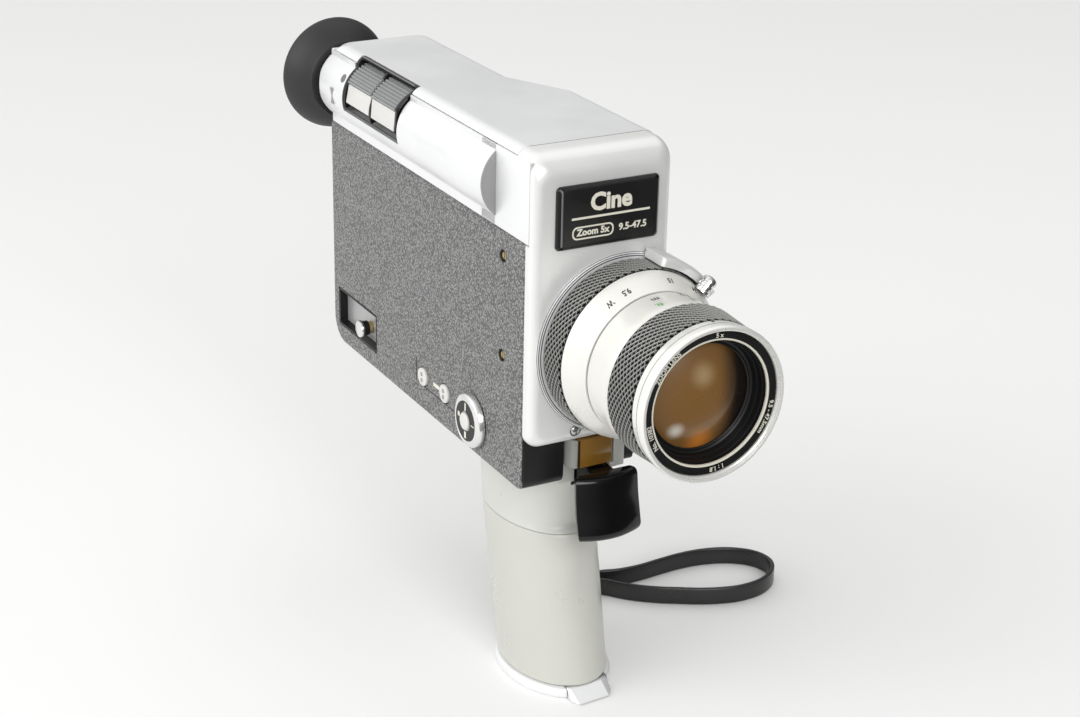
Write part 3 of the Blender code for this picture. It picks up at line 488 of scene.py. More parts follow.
def front_casting():
    stations = []
    side_round, top_round = 4, 9
    for depth in sorted({*depths(side_round, 8, CASTING_DEPTH), *depths(top_round, 8, CASTING_DEPTH)}):
        section = body_section(edge_inset(depth, side_round), edge_inset(depth, top_round))
        stations.append((FACE_Y + depth, section))
    mesh = cut(
        loft_mesh(stations, "Y"),
        box_mesh((-24, FACE_Y + 4, CASTING_Z + 2.8), (24.5, -10, TOP_Z - 2.6)),
        box_mesh((-40, -26.3, LEATHER_TOP_Z - 0.2), (-27.1, -10, 218)),
        box_mesh((-40, -23.9, 100), (-11.3, -10, BULGE_FOOT_Z)),
        cylinder_mesh(27.2, -40, -24.2, "Y", LENS, 96),
        cylinder_mesh(2.35, -40, -27, "Y", CASTING_SCREW, 48),
    )
    put("front_casting_shell", mesh, CASTING, "camera", ["front_casting"])
    gap_start, gap_end = FACE_Y + CASTING_DEPTH - 0.02, TOP_FRONT_Y + 0.02
    seam = box_mesh((-23.9, gap_start, TOP_Z - 0.4), (LEFT_X - 5.2, gap_end, TOP_Z + 0.01))
    put("casting_seam", seam, MATT, "camera")
    profile = [(34.0, FACE_Y - 0.02), (34.4, -29.1), (34.4, -24.2), (26.5, -24.2), (26.5, FACE_Y - 0.02)]
    boss = cut(turned_mesh(profile, "Y", LENS), cylinder_mesh(2.35, -40, -20, "Y", CASTING_SCREW, 48))
    put("lens_boss", boss, CASTING, "camera")


def top_outline(inset):
    left, rear, right = 5 * inset, 6.4 * inset, 4.4 * inset
    x0, x1, x2, y1 = RIGHT_X + left, LEFT_X + 0.2 - right, 13.9 - right, BACK_Y - rear
    return rounded(
        [(x0, TOP_FRONT_Y, 0), (x1, TOP_FRONT_Y, 0), (x1, 42, 3), (x2, 70, 4), (x2, y1, 4), (x0 + 4.3, y1, 2),
         (x0, y1 - 4.6, 2)], 6
    )


def top_cover():
    stations = [(205.0, top_outline(0))]
    for k in range(11):
        angle = math.pi / 2 * k / 10
        stations.append((TOP_Z - 5 + 5 * math.sin(angle), top_outline(1 - math.cos(angle))))
    inside = rounded(
        [(-27, -20, 0), (24.9, -20, 0), (24.9, 41, 2), (11.6, 69, 2), (11.6, 145.7, 3), (-27, 145.7, 3)], 3
    )
    mesh = cut(
        loft_mesh(stations, "Z"),
        prism_mesh(inside, "Z", 200, TOP_Z - 2.2),
        box_mesh((-40, -20, 200), (-26.9, 160, BULGE_TOP_Z + 0.3)),
        box_mesh((-40, 140, 200), (-5.4, 160, BULGE_TOP_Z + 0.3)),
        box_mesh((-40, KEY_Y[0] - 0.3, 200), (-24.7, KEY_Y[1] + 0.3, 230)),
    )
    put("top_cover_shell", mesh, SILVER, "camera", ["top_cover"])


def bulge_section(inset):
    """The bulge's cross-section: a lip, the round flank, and the upright behind them."""
    radius = BULGE_R - inset
    flat = RIGHT_X + 1.2 * inset
    base, top = BULGE_FOOT_Z + inset * 0.3, BULGE_TOP_Z - inset
    reach = math.degrees(math.acos(min(1.0, (BULGE_X - flat) / radius)))
    return [
        (flat, base), *arc(BULGE_X, BULGE_Z, radius, 180 + reach, 180 - reach, 33),
        (flat, top), (-24.5, top), (-24.5, base),
    ]


def side_shell():
    front = [(-1.0, bulge_section(0.25)), (-0.75, bulge_section(0.0))]
    rear = [(BACK_Y - d, bulge_section(edge_inset(d, 3.5))) for d in reversed(depths(3.5, 6, 0)[:-1])]
    bulge = loft_mesh(front + rear, "Y")
    plate = box_mesh((RIGHT_X, -26, BULGE_FOOT_Z), (RIGHT_X + 2, 10, BULGE_TOP_Z), 0.15)
    rear_wall = box_mesh((-28, BACK_Y - 2.4, BULGE_FOOT_Z), (-5.7, BACK_Y - 0.05, BULGE_TOP_Z - 0.1), 0.4)
    window = box_mesh((-40, KEY_Y[0] - 0.3, 199.7), (-20, KEY_Y[1] + 0.3, 230))
    hole = cylinder_mesh(13.2, 142, 160, "Y", EYE)
    chamfer = prism_mesh([(-39.1, 140.6), (-28.5, 150.9), (-42, 153)], "Z", 180, 225)
    mesh = cut(bulge, window, hole, chamfer)
    shell = put("side_shell_bulge", mesh, SILVER, "camera", ["side_shell"], smooth=30)
    shell.data.materials.append(MOON_SHADE_AND_MARK_GREY)
    # Faces turned to the front get painted shade instead of the bulge's silver.
    for face in shell.data.polygons:
        if face.normal.y < -0.7:
            face.material_index = 1
    put("side_shell_plate", plate, SILVER, "camera")
    put("side_shell_rear", cut(rear_wall, hole.copy()), SILVER, "camera")
    # The dimple is a thin grey disc: painted shade standing for the notch.
    dimple = turned_mesh([(0, 0.0), (1.8, 0.0), (1.8, 0.42), (0, 0.47)], "Z", (0, 0), 32)
    stand_out(dimple, (BULGE_X, BULGE_Z), 150, 124.2, BULGE_R - 0.35)
    put("flank_dimple_shade", dimple, GREY_PAINTED_LIGHT, "camera")
    waist = [(-3.4, -1.5), (0, -0.4), (3.4, -1.5), (3.4, 1.5), (0, 0.4), (-3.4, 1.5)]
    mark = prism_mesh(waist, "Z", 0, 0.14, 0.04)
    stand_out(mark, (BULGE_X, BULGE_Z), 184, 131.5, BULGE_R - 0.04)
    put("flank_mark", mark, MOON_SHADE_AND_MARK_GREY, "camera")


def side_outline(inset):
    y0, y1, z0, z1 = -23.6 + inset, BACK_Y - 0.1 - inset, BELLY_Z + inset, LEATHER_TOP_Z - inset
    return rounded([(y0, z0, 4.5), (y1, z0, 10), (y1, z1, 0.8), (y0, z1, 0.8)])


def side_cover():
    stations = [(RIGHT_X + d, side_outline(edge_inset(d, 1.8))) for d in depths(1.8, 6, 17.6)]
    mesh = cut(
        loft_mesh(stations, "X"),
        prism_mesh(side_outline(2.2), "X", RIGHT_X + 2.4, 0),
        box_mesh((-40, 103.1, 99.8), (-20, 141.9, 116.8), 0.6),
        cylinder_mesh(3.2, -40, -20, "X", DIAL_AT),
        cylinder_mesh(4.15, -40, -20, "X", CHECK_AT),
        cylinder_mesh(4.15, -40, -20, "X", SELECTOR_AT),
        *[cylinder_mesh(2.4, -40, -20, "X", (SCREW_Y, z)) for z in SCREW_ZS],
        box_mesh((-40, 64.8, 102.9), (RIGHT_X + 0.9, 65.3, 113.5)),
        box_mesh((-40, 22.0, 102.6), (RIGHT_X + 0.9, 58.0, 103.1)),
    )
    cover = put("leather_side", mesh, LEATHER, "camera", ["side_cover"])
    cover.data.materials.append(BLACK)
    for face in cover.data.polygons:
        if face.normal.y < -0.75:
            face.material_index = 1


def film_door():
    def outline(inset):
        y0, y1, z0, z1 = -9.7 + inset, 147.6 - inset, 92.3 + inset, 204.6 - inset
        return rounded([(y0, z0, 2), (y1, z0, 10), (y1, z1, 3), (y0, z1, 2)])

    stations = [(22.7, outline(0))]
    stations += [(27.8 - d, outline(edge_inset(d, 1.5))) for d in reversed(depths(1.5, 5, 0)[:-1])]
    mesh = cut(loft_mesh(stations, "X"), prism_mesh(outline(1.7), "X", 10, 26.0))
    put("door_leather", mesh, LEATHER, "door", ["film_door"])
    latch = box_mesh((28.1, 135.5, 140), (30.1, 142.5, 156), 0.5)
    grooves = [box_mesh((29.4, 130, 143.5 + 2.2 * k), (32, 150, 144.5 + 2.2 * k)) for k in range(5)]
    put("latch_slider", cut(latch, *grooves), SILVER, "door_catch", ["door_latch"])


def screws():
    dome = [(0, -28.6), (1.3, -28.7), (1.9, -28.3), (2.0, -27.8), (2.0, -26), (0, -26)]
    # Painted shade: each screw's well is a matt black ring lining its hole in the leather.
    wall = [(2.42, -29.25), (2.42, -26.5), (2.05, -26.5), (2.05, -28.9)]
    for name, z in zip(("side_screw_upper", "side_screw_lower"), SCREW_ZS):
        blade = box_mesh((-40, SCREW_Y - 0.3, z - 3), (-28.0, SCREW_Y + 0.3, z + 3))
        head = cut(turned_mesh(dome, "X", (SCREW_Y, z), 48), blade)
        put(f"{name}_head", head, BRASS, "camera", [name])
        put(f"{name}_well", turned_mesh(wall, "X", (SCREW_Y, z), 48), MATT, "camera")
    dome = [(0, -29.9), (1.0, -29.85), (1.6, -29.6), (2.0, -29.1), (2.05, -28.6), (2.05, -27.4), (0, -27.4)]
    head = turned_mesh(dome, "Y", CASTING_SCREW, 48)
    x, z = CASTING_SCREW
    arms = ((1.2, 0.25), (0.25, 1.2))
    cross = [box_mesh((x - long, -40, z - wide), (x + long, -29.1, z + wide)) for long, wide in arms]
    put("casting_screw_head", cut(head, *cross), STEEL, "camera", ["casting_screw"])


# ---------------------------------------------------------------- lettering


def text_mesh(words, size, bold=0.0):
    """The words as a flat mesh in millimetres around their own middle, x along and y up."""
    curve = bpy.data.curves.new("words", "FONT")
    curve.body = words
    curve.size = size
    curve.align_x = curve.align_y = "CENTER"
    curve.resolution_u = 3
    curve.offset = bold
    obj = add_object("words", curve)
    mesh = evaluated_mesh(obj)
    bpy.data.objects.remove(obj)
    return mesh


def on_lens(r, angle, y):
    return Vector((LENS_X + r * math.cos(angle), y, LENS_Z + r * math.sin(angle))) * MM


def barrel_text(name, body, words, size, angle, y, radius, mat):
    """Words round the lens barrel, which read from behind the camera; radius is a function of y."""
    mesh = text_mesh(words, size, 0.09)
    for v in mesh.vertices:
        place = y - v.co.y
        r = radius(place) + 0.05
        v.co = on_lens(r, math.radians(angle) + v.co.x / r, place)
    put(name, mesh, mat, body, smooth=0)


def face_text(name, words, size, angle, radius, mat, y):
    """Words round the lens's face, which read clockwise from the front."""
    mesh = text_mesh(words, size, 0.06)
    for v in mesh.vertices:
        v.co = on_lens(radius + v.co.y, math.radians(angle) - v.co.x / radius, y)
    put(name, mesh, mat, "focus_group", smooth=0)


def plate_box(x0, z0, x1, z1, radius):
    return rounded([(x0, z0, radius), (x1, z0, radius), (x1, z1, radius), (x0, z1, radius)], 6)


def nameplate():
    def plate(grow, y):
        return y, plate_box(-20.8 + grow, 186.7 + grow * 0.8, 20.5 - grow, 210 - grow * 0.6, 1.6)

    rim = loft_mesh([plate(1.25, -31.6), plate(0.35, -30.9), plate(0.0, -30.2), plate(0.0, -29.8)], "Y")
    put("nameplate_rim", rim, GLOSS, "camera", smooth=20)
    # Painted highlight: a grey strip on the left bevel of the black rim only.
    slope = prism_mesh([(-20.3, -30.6), (-19.3, -31.85), (-18.9, -31.85), (-18.9, -30.6)], "Z", 188.6, 208.7)
    put("nameplate_bevel_highlight", slope, GREY_PAINTED_LIGHT, "camera")
    face = loft_mesh([plate(2.1, -31.9), plate(1.55, -31.75), plate(1.3, -31.4), plate(1.3, -30.8)], "Y")
    put("nameplate_face", face, PLATE, "camera", ["nameplate"])

    def printed(name, mesh, x, z):
        for v in mesh.vertices:
            v.co = Vector((x + v.co.x, -31.96, z + v.co.y)) * MM
        put(name, mesh, WHITE_PRINT, "camera", smooth=0)

    printed("plate_word", text_mesh("Cine", 8.8, 0.34), 0.2, 203.2)
    rule = box_mesh((-15.5, -32.0, 197.8), (16.0, -31.9, 198.6))
    put("plate_rule", rule, WHITE_PRINT, "camera")
    frame_line = cut(
        prism_mesh(plate_box(-15.2, 190.4, 1.4, 195.2, 2), "Y", -32.0, -31.85),
        prism_mesh(plate_box(-14.65, 190.95, 0.85, 194.65, 1.6), "Y", -33, -30),
    )
    put("plate_frame", frame_line, WHITE_PRINT, "camera")
    printed("plate_frame_word", text_mesh("Zoom 5x", 3.4, 0.14), -6.9, 192.9)
    printed("plate_number", text_mesh("9.5-47.5", 3.5, 0.12), 9.2, 192.8)


# ---------------------------------------------------------------- lens


def knurled(name, body, y0, y1, r0, r1, inner, count, rows, node):
    """A ring whose outside is a net of raised ridges round diamond pits."""
    around, along, depth = count * KNURL_CELL, rows * KNURL_CELL, KNURL_DEPTH
    rim = 0.5
    bm = bmesh.new()
    layer = bm.verts.layers.float.new("height")
    rings = []

    def ring(y, radius_of, height_of):
        verts = []
        for k in range(around):
            v = bm.verts.new(on_lens(radius_of(k), 2 * math.pi * k / around, y))
            v[layer] = height_of(k)
            verts.append(v)
        rings.append(verts)

    def ridge(k, j):
        """1 on the net's lines, 0 in its pits."""
        near = max(abs(2 * (s % 1.0) - 1) for s in ((k + j) / KNURL_CELL, (k - j) / KNURL_CELL))
        return min(1.0, max(0.0, (near - 0.55) / 0.4))

    ring(y0, lambda k: inner, lambda k: 0.0)
    ring(y0, lambda k: r0 - depth, lambda k: 0.0)
    for j in range(along + 1):
        share = j / along
        base = r0 + (r1 - r0) * share
        fade = min(1.0, share * along / (KNURL_CELL * rim), (1 - share) * along / (KNURL_CELL * rim))
        # The height layer is 1 on the ridges; the knurl material paints it as a highlight and the pits as
        # shade.
        ring(
            y0 + (y1 - y0) * share,
            lambda k, base=base, fade=fade, j=j: base - depth * (1 - fade * ridge(k, j)),
            lambda k, fade=fade, j=j: fade * ridge(k, j) ** 7,
        )
    ring(y1, lambda k: r1 - depth, lambda k: 0.0)
    ring(y1, lambda k: inner, lambda k: 0.0)
    skin(bm, rings + rings[:1])
    put(name, finish_bmesh(bm), KNURL, body, [node], smooth=60)


def zoom_radius(y):
    profile = [
        (31.9, -43.4), (31.5, -45.0), (30.6, -47.4), (29.5, -49.6), (28.2, -51.6), (27.6, -52.6),
        (27.4, -53.1),
    ]
    for (r0, y0), (r1, y1) in zip(profile, profile[1:]):
        if y1 <= y <= y0:
            return r0 + (r1 - r0) * (y0 - y) / (y0 - y1)
    return profile[0][0] if y > profile[0][1] else profile[-1][0]


def focus_radius(y):
    return 27.3 + 0.9 * min(1.0, max(0.0, (-53.5 - y) / 15.7))


def lens_ring(name, body, profile, mat, replaces=(), steps=160):
    put(name, turned_mesh(profile, "Y", LENS, steps), mat, body, list(replaces))


def zoom_rings():
    lens_ring(
        "flange_rings", "camera",
        [(34.4, -29.75), (34.4, -30.2), (34.0, -30.4), (33.7, -30.4), (33.7, -30.8), (33.3, -30.95),
         (28.0, -30.95), (28.0, -29.75)],
        SILVER, ["lens_flange"],
    )
    # Dark grey rings drawn at the flange's three step edges.
    for k, (r, y) in enumerate(((34.42, -29.98), (33.88, -30.42), (33.42, -30.92))):
        line = [(r, y), (r + 0.06, y - 0.26), (r - 0.3, y - 0.26), (r - 0.3, y)]
        lens_ring(f"flange_line_{k}", "camera", line, GREY_PRINT)
    knurled("zoom_knurl", "zoom_group", -31.1, -43.1, 32.65, 32.35, 28.4, 64, 6, "zoom_grip")
    places = (-43.45, -44.2, -45, -46.2, -47.4, -48.5, -49.6, -50.6, -51.6, -52.1, -52.6, -52.8)
    smooth = [(zoom_radius(y), y) for y in places]
    lens_ring(
        "zoom_scale", "zoom_group", [(31.5, -43.35), *smooth, (27.2, -52.95), (26.4, -52.95), (26.4, -43.35)],
        CREAM, ["zoom_scale_ring"],
    )
    marks = (
        ("W", 124, -49.4), ("9.5", 110, -49.4), ("15", 74, -48.6), ("24", 52, -48.6), ("36", 22, -48.6),
        ("47.5", -8, -48.6), ("T", -24, -48.6),
    )
    for k, (words, angle, y) in enumerate(marks):
        barrel_text(f"zoom_mark_{k}", "zoom_group", words, 2.7, angle, y, zoom_radius, GREY_PRINT)
    grip = [
        (0, 6.8), (1.6, 6.75), (2.5, 6.3), (2.9, 5.4), (2.9, 4.5), (2.5, 4.2), (2.5, 3.7), (3.0, 3.4),
        (3.0, 2.5), (2.6, 2.2), (2.6, 1.7), (3.1, 1.3), (3.1, 0.3), (0, 0.3),
    ]
    lever = turned_mesh(grip, "Z", (0, 0), 48)
    stand_out(lever, LENS, 46, -48.3, 30.6)
    put("zoom_lever_knob", lever, POLISHED, "zoom_group", ["zoom_lever"])
    put("zoom_drive_hood", rounded_hood(), CASTING, "camera", ["zoom_drive_cover"], smooth=40)


def rounded_hood():
    """The silver hump over the rear knurl, with a rounded front edge and ends."""
    stations = []
    for d in depths(1.6, 5, 12.0):
        inset = edge_inset(d, 1.6)
        ends = math.degrees(inset / 35)
        outer = arc(LENS_X, LENS_Z, 36.6 - inset, 30 + ends, 76 - ends, 24)
        inner = arc(LENS_X, LENS_Z, 33.1, 76 - ends, 30 + ends, 24)
        stations.append((-43.1 + d, outer + inner))
    return loft_mesh(stations, "Y")


def focus_rings():
    lens_ring(
        "barrel_tube", "camera",
        [(26.0, -24.6), (26.1, -53.0), (25.0, -53.4), (25.0, -76), (22.8, -76), (22.8, -27.0), (11.8, -25.9),
         (11.8, -16.2), (17.0, -16.2), (17.0, -24.6)],
        ANODISED, ["lens_barrel"],
    )
    lens_ring(
        "focus_scale", "focus_group",
        [(26.9, -53.65), (27.3, -53.95), (27.6, -58.5), (27.9, -64.0), (28.15, -69.0), (28.0, -69.3),
         (27.0, -69.45), (27.0, -85.3), (25.4, -85.3), (25.4, -53.65)],
        CREAM, ["focus_ring"],
    )
    groove = [(27.25, -53.0), (27.25, -53.6), (26.5, -53.6), (26.5, -53.0)]
    lens_ring("groove_line", "zoom_group", groove, RIB_GREY)
    knurled("focus_knurl", "focus_group", -69.6, -85.2, 29.1, 28.25, 27.1, 58, 8, "focus_grip")
    marks = (
        ("m", 98, -58.6, GREY_PRINT), ("ft", 101, -63.6, GREEN_PRINT), ("1.2", 70, -56.2, GREY_PRINT),
        ("4", 70, -61.6, GREEN_PRINT), ("2", 48, -56.2, GREY_PRINT), ("7", 48, -61.6, GREEN_PRINT),
        ("5", 22, -56.2, GREY_PRINT), ("15", 22, -61.6, GREEN_PRINT),
    )
    for k, (words, angle, y, mat) in enumerate(marks):
        barrel_text(f"focus_mark_{k}", "focus_group", words, 4.0, angle, y, focus_radius, mat)
    lens_ring(
        "front_rim", "focus_group",
        [(28.0, -85.5), (28.35, -88.2), (28.5, -90.2), (28.5, -91.7), (28.3, -92.4), (27.9, -92.75),
         (27.3, -92.8), (26.95, -92.6), (26.85, -92.2), (26.6, -92.1), (26.85, -91.9), (26.6, -91.7),
         (26.8, -91.5), (26.5, -91.3), (26.4, -90.9), (26.4, -86.0), (25.4, -85.5)],
        BEZEL, ["front_bezel"],
    )
    rim_line = [(28.42, -88.75), (28.44, -88.95), (28.3, -88.95), (28.3, -88.75)]
    lens_ring("rim_line", "focus_group", rim_line, GREY_PRINT)
    index = box_mesh((-0.55, -0.6, 0), (0.55, 0.6, 0.14), 0.1)
    stand_out(index, LENS, 87, -86.7, 28.1)
    put("rim_index", index, GREY_PRINT, "focus_group")


def glass_group():
    lens_ring(
        "name_ring_face", "focus_group",
        [(26.1, -90.85), (26.1, -90.2), (23.5, -89.8), (23.5, -90.45), (24.0, -90.55), (25.8, -90.85)],
        PLATE, ["name_ring"],
    )
    marks = (("ZOOM LENS", 138), ("5 x", 86), ("9.5 - 47.5mm", -22), ("1 : 1.8", -82), ("No. 10382", -160))
    for k, (words, angle) in enumerate(marks):
        face_text(f"name_text_{k}", words, 2.35, angle, 24.75, WHITE_PRINT, -90.93)
    ring = [(23.45, -90.55), (23.45, -89.6), (22.75, -89.6), (22.75, -90.35), (23.0, -90.6)]
    lens_ring("retaining_ring", "focus_group", ring, WHITE_PRINT)
    lens_ring(
        "cell_wall", "focus_group",
        [(26.1, -89.6), (26.1, -86.3), (25.1, -86.0), (25.1, -76.6), (18.4, -76.6), (18.4, -77.4),
         (20.1, -77.4), (20.1, -83.6), (20.9, -84.0), (21.3, -85.9), (21.9, -86.0), (22.2, -88.0),
         (22.7, -88.1), (22.75, -89.55), (23.1, -89.6)],
        ANODISED, ["front_cell"],
    )
    bend = 46.0
    front = []
    for k in range(25):
        r = 19.75 * math.sin(k * math.pi / 48)
        front.append((r, -87.2 + bend - math.sqrt(bend**2 - r**2)))
    back = [(19.75, -80.2), (14, -79.0), (7, -78.2), (0, -78.0)]
    lens_ring("front_element", "focus_group", [*front, *back], FRONT_GLASS, ["front_lens"])
    retainer = [(20.1, -83.7), (20.1, -82.9), (19.2, -82.9), (19.2, -83.5), (19.6, -83.9)]
    lens_ring("glass_retainer", "focus_group", retainer, ANODISED)
    bend = 33.0
    hollow = []
    for k in range(17):
        r = 17.9 * k / 16
        hollow.append((r, -74.6 - (bend - math.sqrt(bend**2 - r**2))))
    back = [(18.3, -77.2), (18.3, -76.7), (18.0, -75.7), (0, -74.1)]
    lens_ring("coated_element", "focus_group", [*hollow, *back], COATING)


# ---------------------------------------------------------------- finder and keys


def finder():
    def eye_part(name, profile, mat, node, steps=96):
        put(name, turned_mesh(profile, "Y", EYE, steps), mat, "eyepiece", [node])

    mount = [
        (12.9, 145.8), (12.9, 148.3), (15.9, 148.3), (16.2, 148.6), (16.2, 150.1), (15.9, 150.4), (9.9, 150.4),
        (9.9, 145.8),
    ]
    eye_part("eyepiece_mount", mount, BLACK, "eyepiece_ring")
    lens = [(0, 146.4), (5, 146.6), (9.6, 147.2), (9.6, 149.2), (5, 149.8), (0, 150.0)]
    eye_part("eyepiece_glass", lens, CLEAR, "eyepiece_lens")
    cup = [
        (15.6, 150.7), (15.9, 151.2), (16.9, 152.2), (18.1, 153.4), (19.5, 155.0), (21.0, 157.1),
        (22.1, 159.3), (22.9, 161.4), (23.28, 163.1), (23.3, 163.7), (23.05, 164.1), (22.6, 164.2),
        (22.1, 163.9), (21.5, 162.6),
        (20.7, 160.4), (19.4, 158.0), (17.8, 156.0), (16.2, 154.3), (14.6, 153.2), (13.0, 152.6), (11.6, 152.3),
        (11.2, 151.6), (11.2, 150.7),
    ]
    eye_part("eyecup_rubber", cup, RUBBER, "eyecup", 160)


def key_point(out, up):
    """A point in the keys' cross-section: out from the bulge's axis at the keys' angle, and up across that."""
    c, s = math.cos(KEY_ANGLE), math.sin(KEY_ANGLE)
    return BULGE_X + c * out + s * up, BULGE_Z + s * out - c * up


def key_ribs(proud):
    """The ribbed outline of a key's upper half."""
    ribs = []
    for k in range(8):
        for share, rise in ((0, 0.35), (0.2, 0.85), (0.6, 0.85), (0.8, 0.35)):
            up = 0.8 + k * KEY_STEP + share * KEY_STEP
            reach = BULGE_R + rise - 0.5 + proud * (1 - up / 22)
            ribs.append(key_point(math.sqrt(reach**2 - up**2), up))
    return ribs


def zoom_key(name, front, rear, proud):
    """One zoom key: a plain pad below and a ribbed half above; it returns the pad's edges and the ribs."""
    body, root = f"{name}_key", 11.6
    foot, edge = key_point(13.2 + proud * 0.3, -6.8), key_point(14.9 + proud, 0.6)
    pad = prism_mesh([key_point(root, -6.8), foot, edge, key_point(root, 0.6)], "Y", front, rear, 0.4)
    put(f"key_pad_{name}", pad, KEY_GREY, body, [f"zoom_button_{name}"], smooth=40)
    ribs = key_ribs(proud)
    upper = prism_mesh([key_point(root, 0.7), *ribs, key_point(8.6, 11.2)], "Y", front, rear, 0.12)
    put(f"key_ribs_{name}", upper, RIB_GREY, body, smooth=20)
    return foot, edge, ribs


def zoom_keys():
    y0, y1 = KEY_Y
    middle = (y0 + y1) / 2
    outer = arc(BULGE_X, BULGE_Z, BULGE_R - 0.35, 193.4, 121.5, 32) + arc(-24.2, 216.4, 4.9, 158, 100, 10)
    inner = [(-25.0, 217.6)] + arc(BULGE_X, BULGE_Z, 10.3, 108, 189, 24)
    pocket = [key_point(*corner) for corner in ((4, -8.9), (20, -8.9), (20, 11.6), (4, 11.6))]
    tele, wide = (y0 + 0.6, middle - 0.7), (middle + 0.7, y1 - 1.6)
    pockets = [prism_mesh(pocket, "Y", *span) for span in (tele, wide)]
    frame_mesh = cut(prism_mesh(outer + inner, "Y", y0, y1), *pockets)
    put("key_frame", frame_mesh, BLACK, "camera", ["zoom_button_frame"])
    foot, edge, ribs = zoom_key("tele", tele[0] + 2.2, tele[1] - 0.8, 1.3)
    wall = [key_point(11.6, -6.7), foot, edge, *ribs[2::4], key_point(8.6, 11.1), key_point(11.8, 0.7)]
    wall = prism_mesh(wall, "Y", tele[0] + 0.3, tele[0] + 2.1, 0.2)
    put("key_wall", wall, GLOSS, "tele_key")
    zoom_key("wide", wide[0] + 0.8, wide[1] - 0.8, 0.2)
    # Painted highlight: a thin grey bar along the top edge of the black key frame.
    up = 12.6
    x, z = key_point(math.sqrt((BULGE_R + 3.1) ** 2 - up**2), up)
    edge = box_mesh((x - 0.3, y0 + 1, z - 0.3), (x + 0.3, y1 - 1, z + 0.3), 0.2)
    put("key_frame_highlight", edge, GREY_PAINTED_LIGHT, "camera")


# ---------------------------------------------------------------- side controls


def side_controls():
    def turned_x(name, profile, at, mat, body, replaces=(), steps=96):
        put(name, turned_mesh(profile, "X", at, steps), mat, body, list(replaces))

    rim = [
        (0, -24), (2.8, -24), (2.8, -29.5), (10.5, -29.5), (10.7, -29.7), (10.5, -31.5), (10.3, -31.9),
        (10.0, -32.1), (8.5, -32.65), (8.2, -32.7), (7.9, -32.5), (3.8, -32.5), (3.8, -31.5), (0, -31.5),
    ]
    turned_x("dial_rim", rim, DIAL_AT, POLISHED, "dial", ["speed_dial"])
    disc = [(7.85, -32.51), (7.85, -32.59), (3.85, -32.59), (3.85, -32.51)]
    turned_x("dial_disc", disc, DIAL_AT, BLACK, "dial")
    cap = [(0, -32.5), (3.4, -32.5), (3.4, -33.1), (3.1, -33.4), (2.4, -33.55), (0, -33.6)]
    turned_x("dial_cap", cap, DIAL_AT, KEY_GREY, "dial_centre", ["dial_button"])
    y, z = DIAL_AT
    marks = (
        ("dial_top", (-0.35, 4.2), (0.55, 7.4)), ("dial_low", (-0.7, -7.0), (0.7, -4.3)),
        ("dial_side", (4.6, 0.2), (6.2, 2.0)), ("dial_tick", (-7.2, -0.1), (-4.6, 0.25)),
    )
    for name, low, high in marks:
        mark = box_mesh((-32.65, y + low[0], z + low[1]), (-32.58, y + high[0], z + high[1]))
        put(name, mark, WHITE_PRINT, "dial")
    disc = [(0, -27.0), (3.7, -27.0), (3.7, -29.8), (3.55, -30.0), (3.2, -30.1), (0, -30.05)]
    # Painted shade: a matt black ring lines the hole round each cap.
    well = [(4.13, RIGHT_X - 0.02), (4.13, -26.5), (3.78, -26.5), (3.78, RIGHT_X + 0.2)]
    dot = [(0.35, -30.12), (0.85, -30.12), (0.85, -30.02), (0.35, -30.02)]
    for body, at, node in (("check", CHECK_AT, "check_button"), ("selector", SELECTOR_AT, "selector_disc")):
        turned_x(f"{body}_cap", disc, at, KEY_GREY, body, [node], 64)
        # Two grey rings on each cap: painted shade of its small dimples.
        for k, dz in enumerate((1.25, -1.35)):
            there = (at[0], at[1] + dz)
            turned_x(f"{body}_cap_dimple_shade_{k}", dot, there, GREY_PAINTED_LIGHT, body, steps=24)
        turned_x(f"{body}_cap_well", well, at, MATT, "camera", steps=64)
    bar = box_mesh((-29.4, 44.3, 106.6), (-29.15, 49.6, 108.1), 0.08)
    put("selector_bar", bar, WHITE_PRINT, "camera")
    tray = cut(
        box_mesh((RIGHT_X + 0.02, 103.3, 100.0), (-24.9, 141.7, 116.6), 0.5),
        box_mesh((-40, 104.2, 100.9), (-25.7, 140.8, 115.7), 0.4),
    )
    put("window_box", tray, BLACK, "camera", ["window_tray"])
    floor = box_mesh((-25.85, 104.6, 101.3), (-25.6, 140.4, 115.3))
    put("window_floor", floor, TRAY_FLOOR, "camera")
    cap = [(0, -31.8), (3.0, -31.8), (3.45, -31.55), (3.6, -31.1), (3.6, -30.2), (3.3, -29.95), (0, -29.95)]
    turned_x("knob_cap", cap, KNOB_AT, POLISHED, "knob", ["window_knob"], 64)
    neck = [(0, -29.97), (3.1, -29.97), (3.1, -27.7), (0, -27.7)]
    turned_x("knob_neck", neck, KNOB_AT, BLACK, "knob", steps=48)
    base = [(0, -27.72), (2.7, -27.72), (2.6, -26.0), (0, -26.0)]
    turned_x("knob_base", base, KNOB_AT, BRASS, "knob", steps=48)


# ---------------------------------------------------------------- grip


def grip_section(z, grow=0.0):
    return ellipse(GRIP_X, GRIP_Y + LEAN * z, GRIP_A + grow, 27.4 + 0.035 * z + grow)


def neck_section(front, rear, half_width):
    return ellipse(GRIP_X, (front + rear) / 2, half_width, (rear - front) / 2)


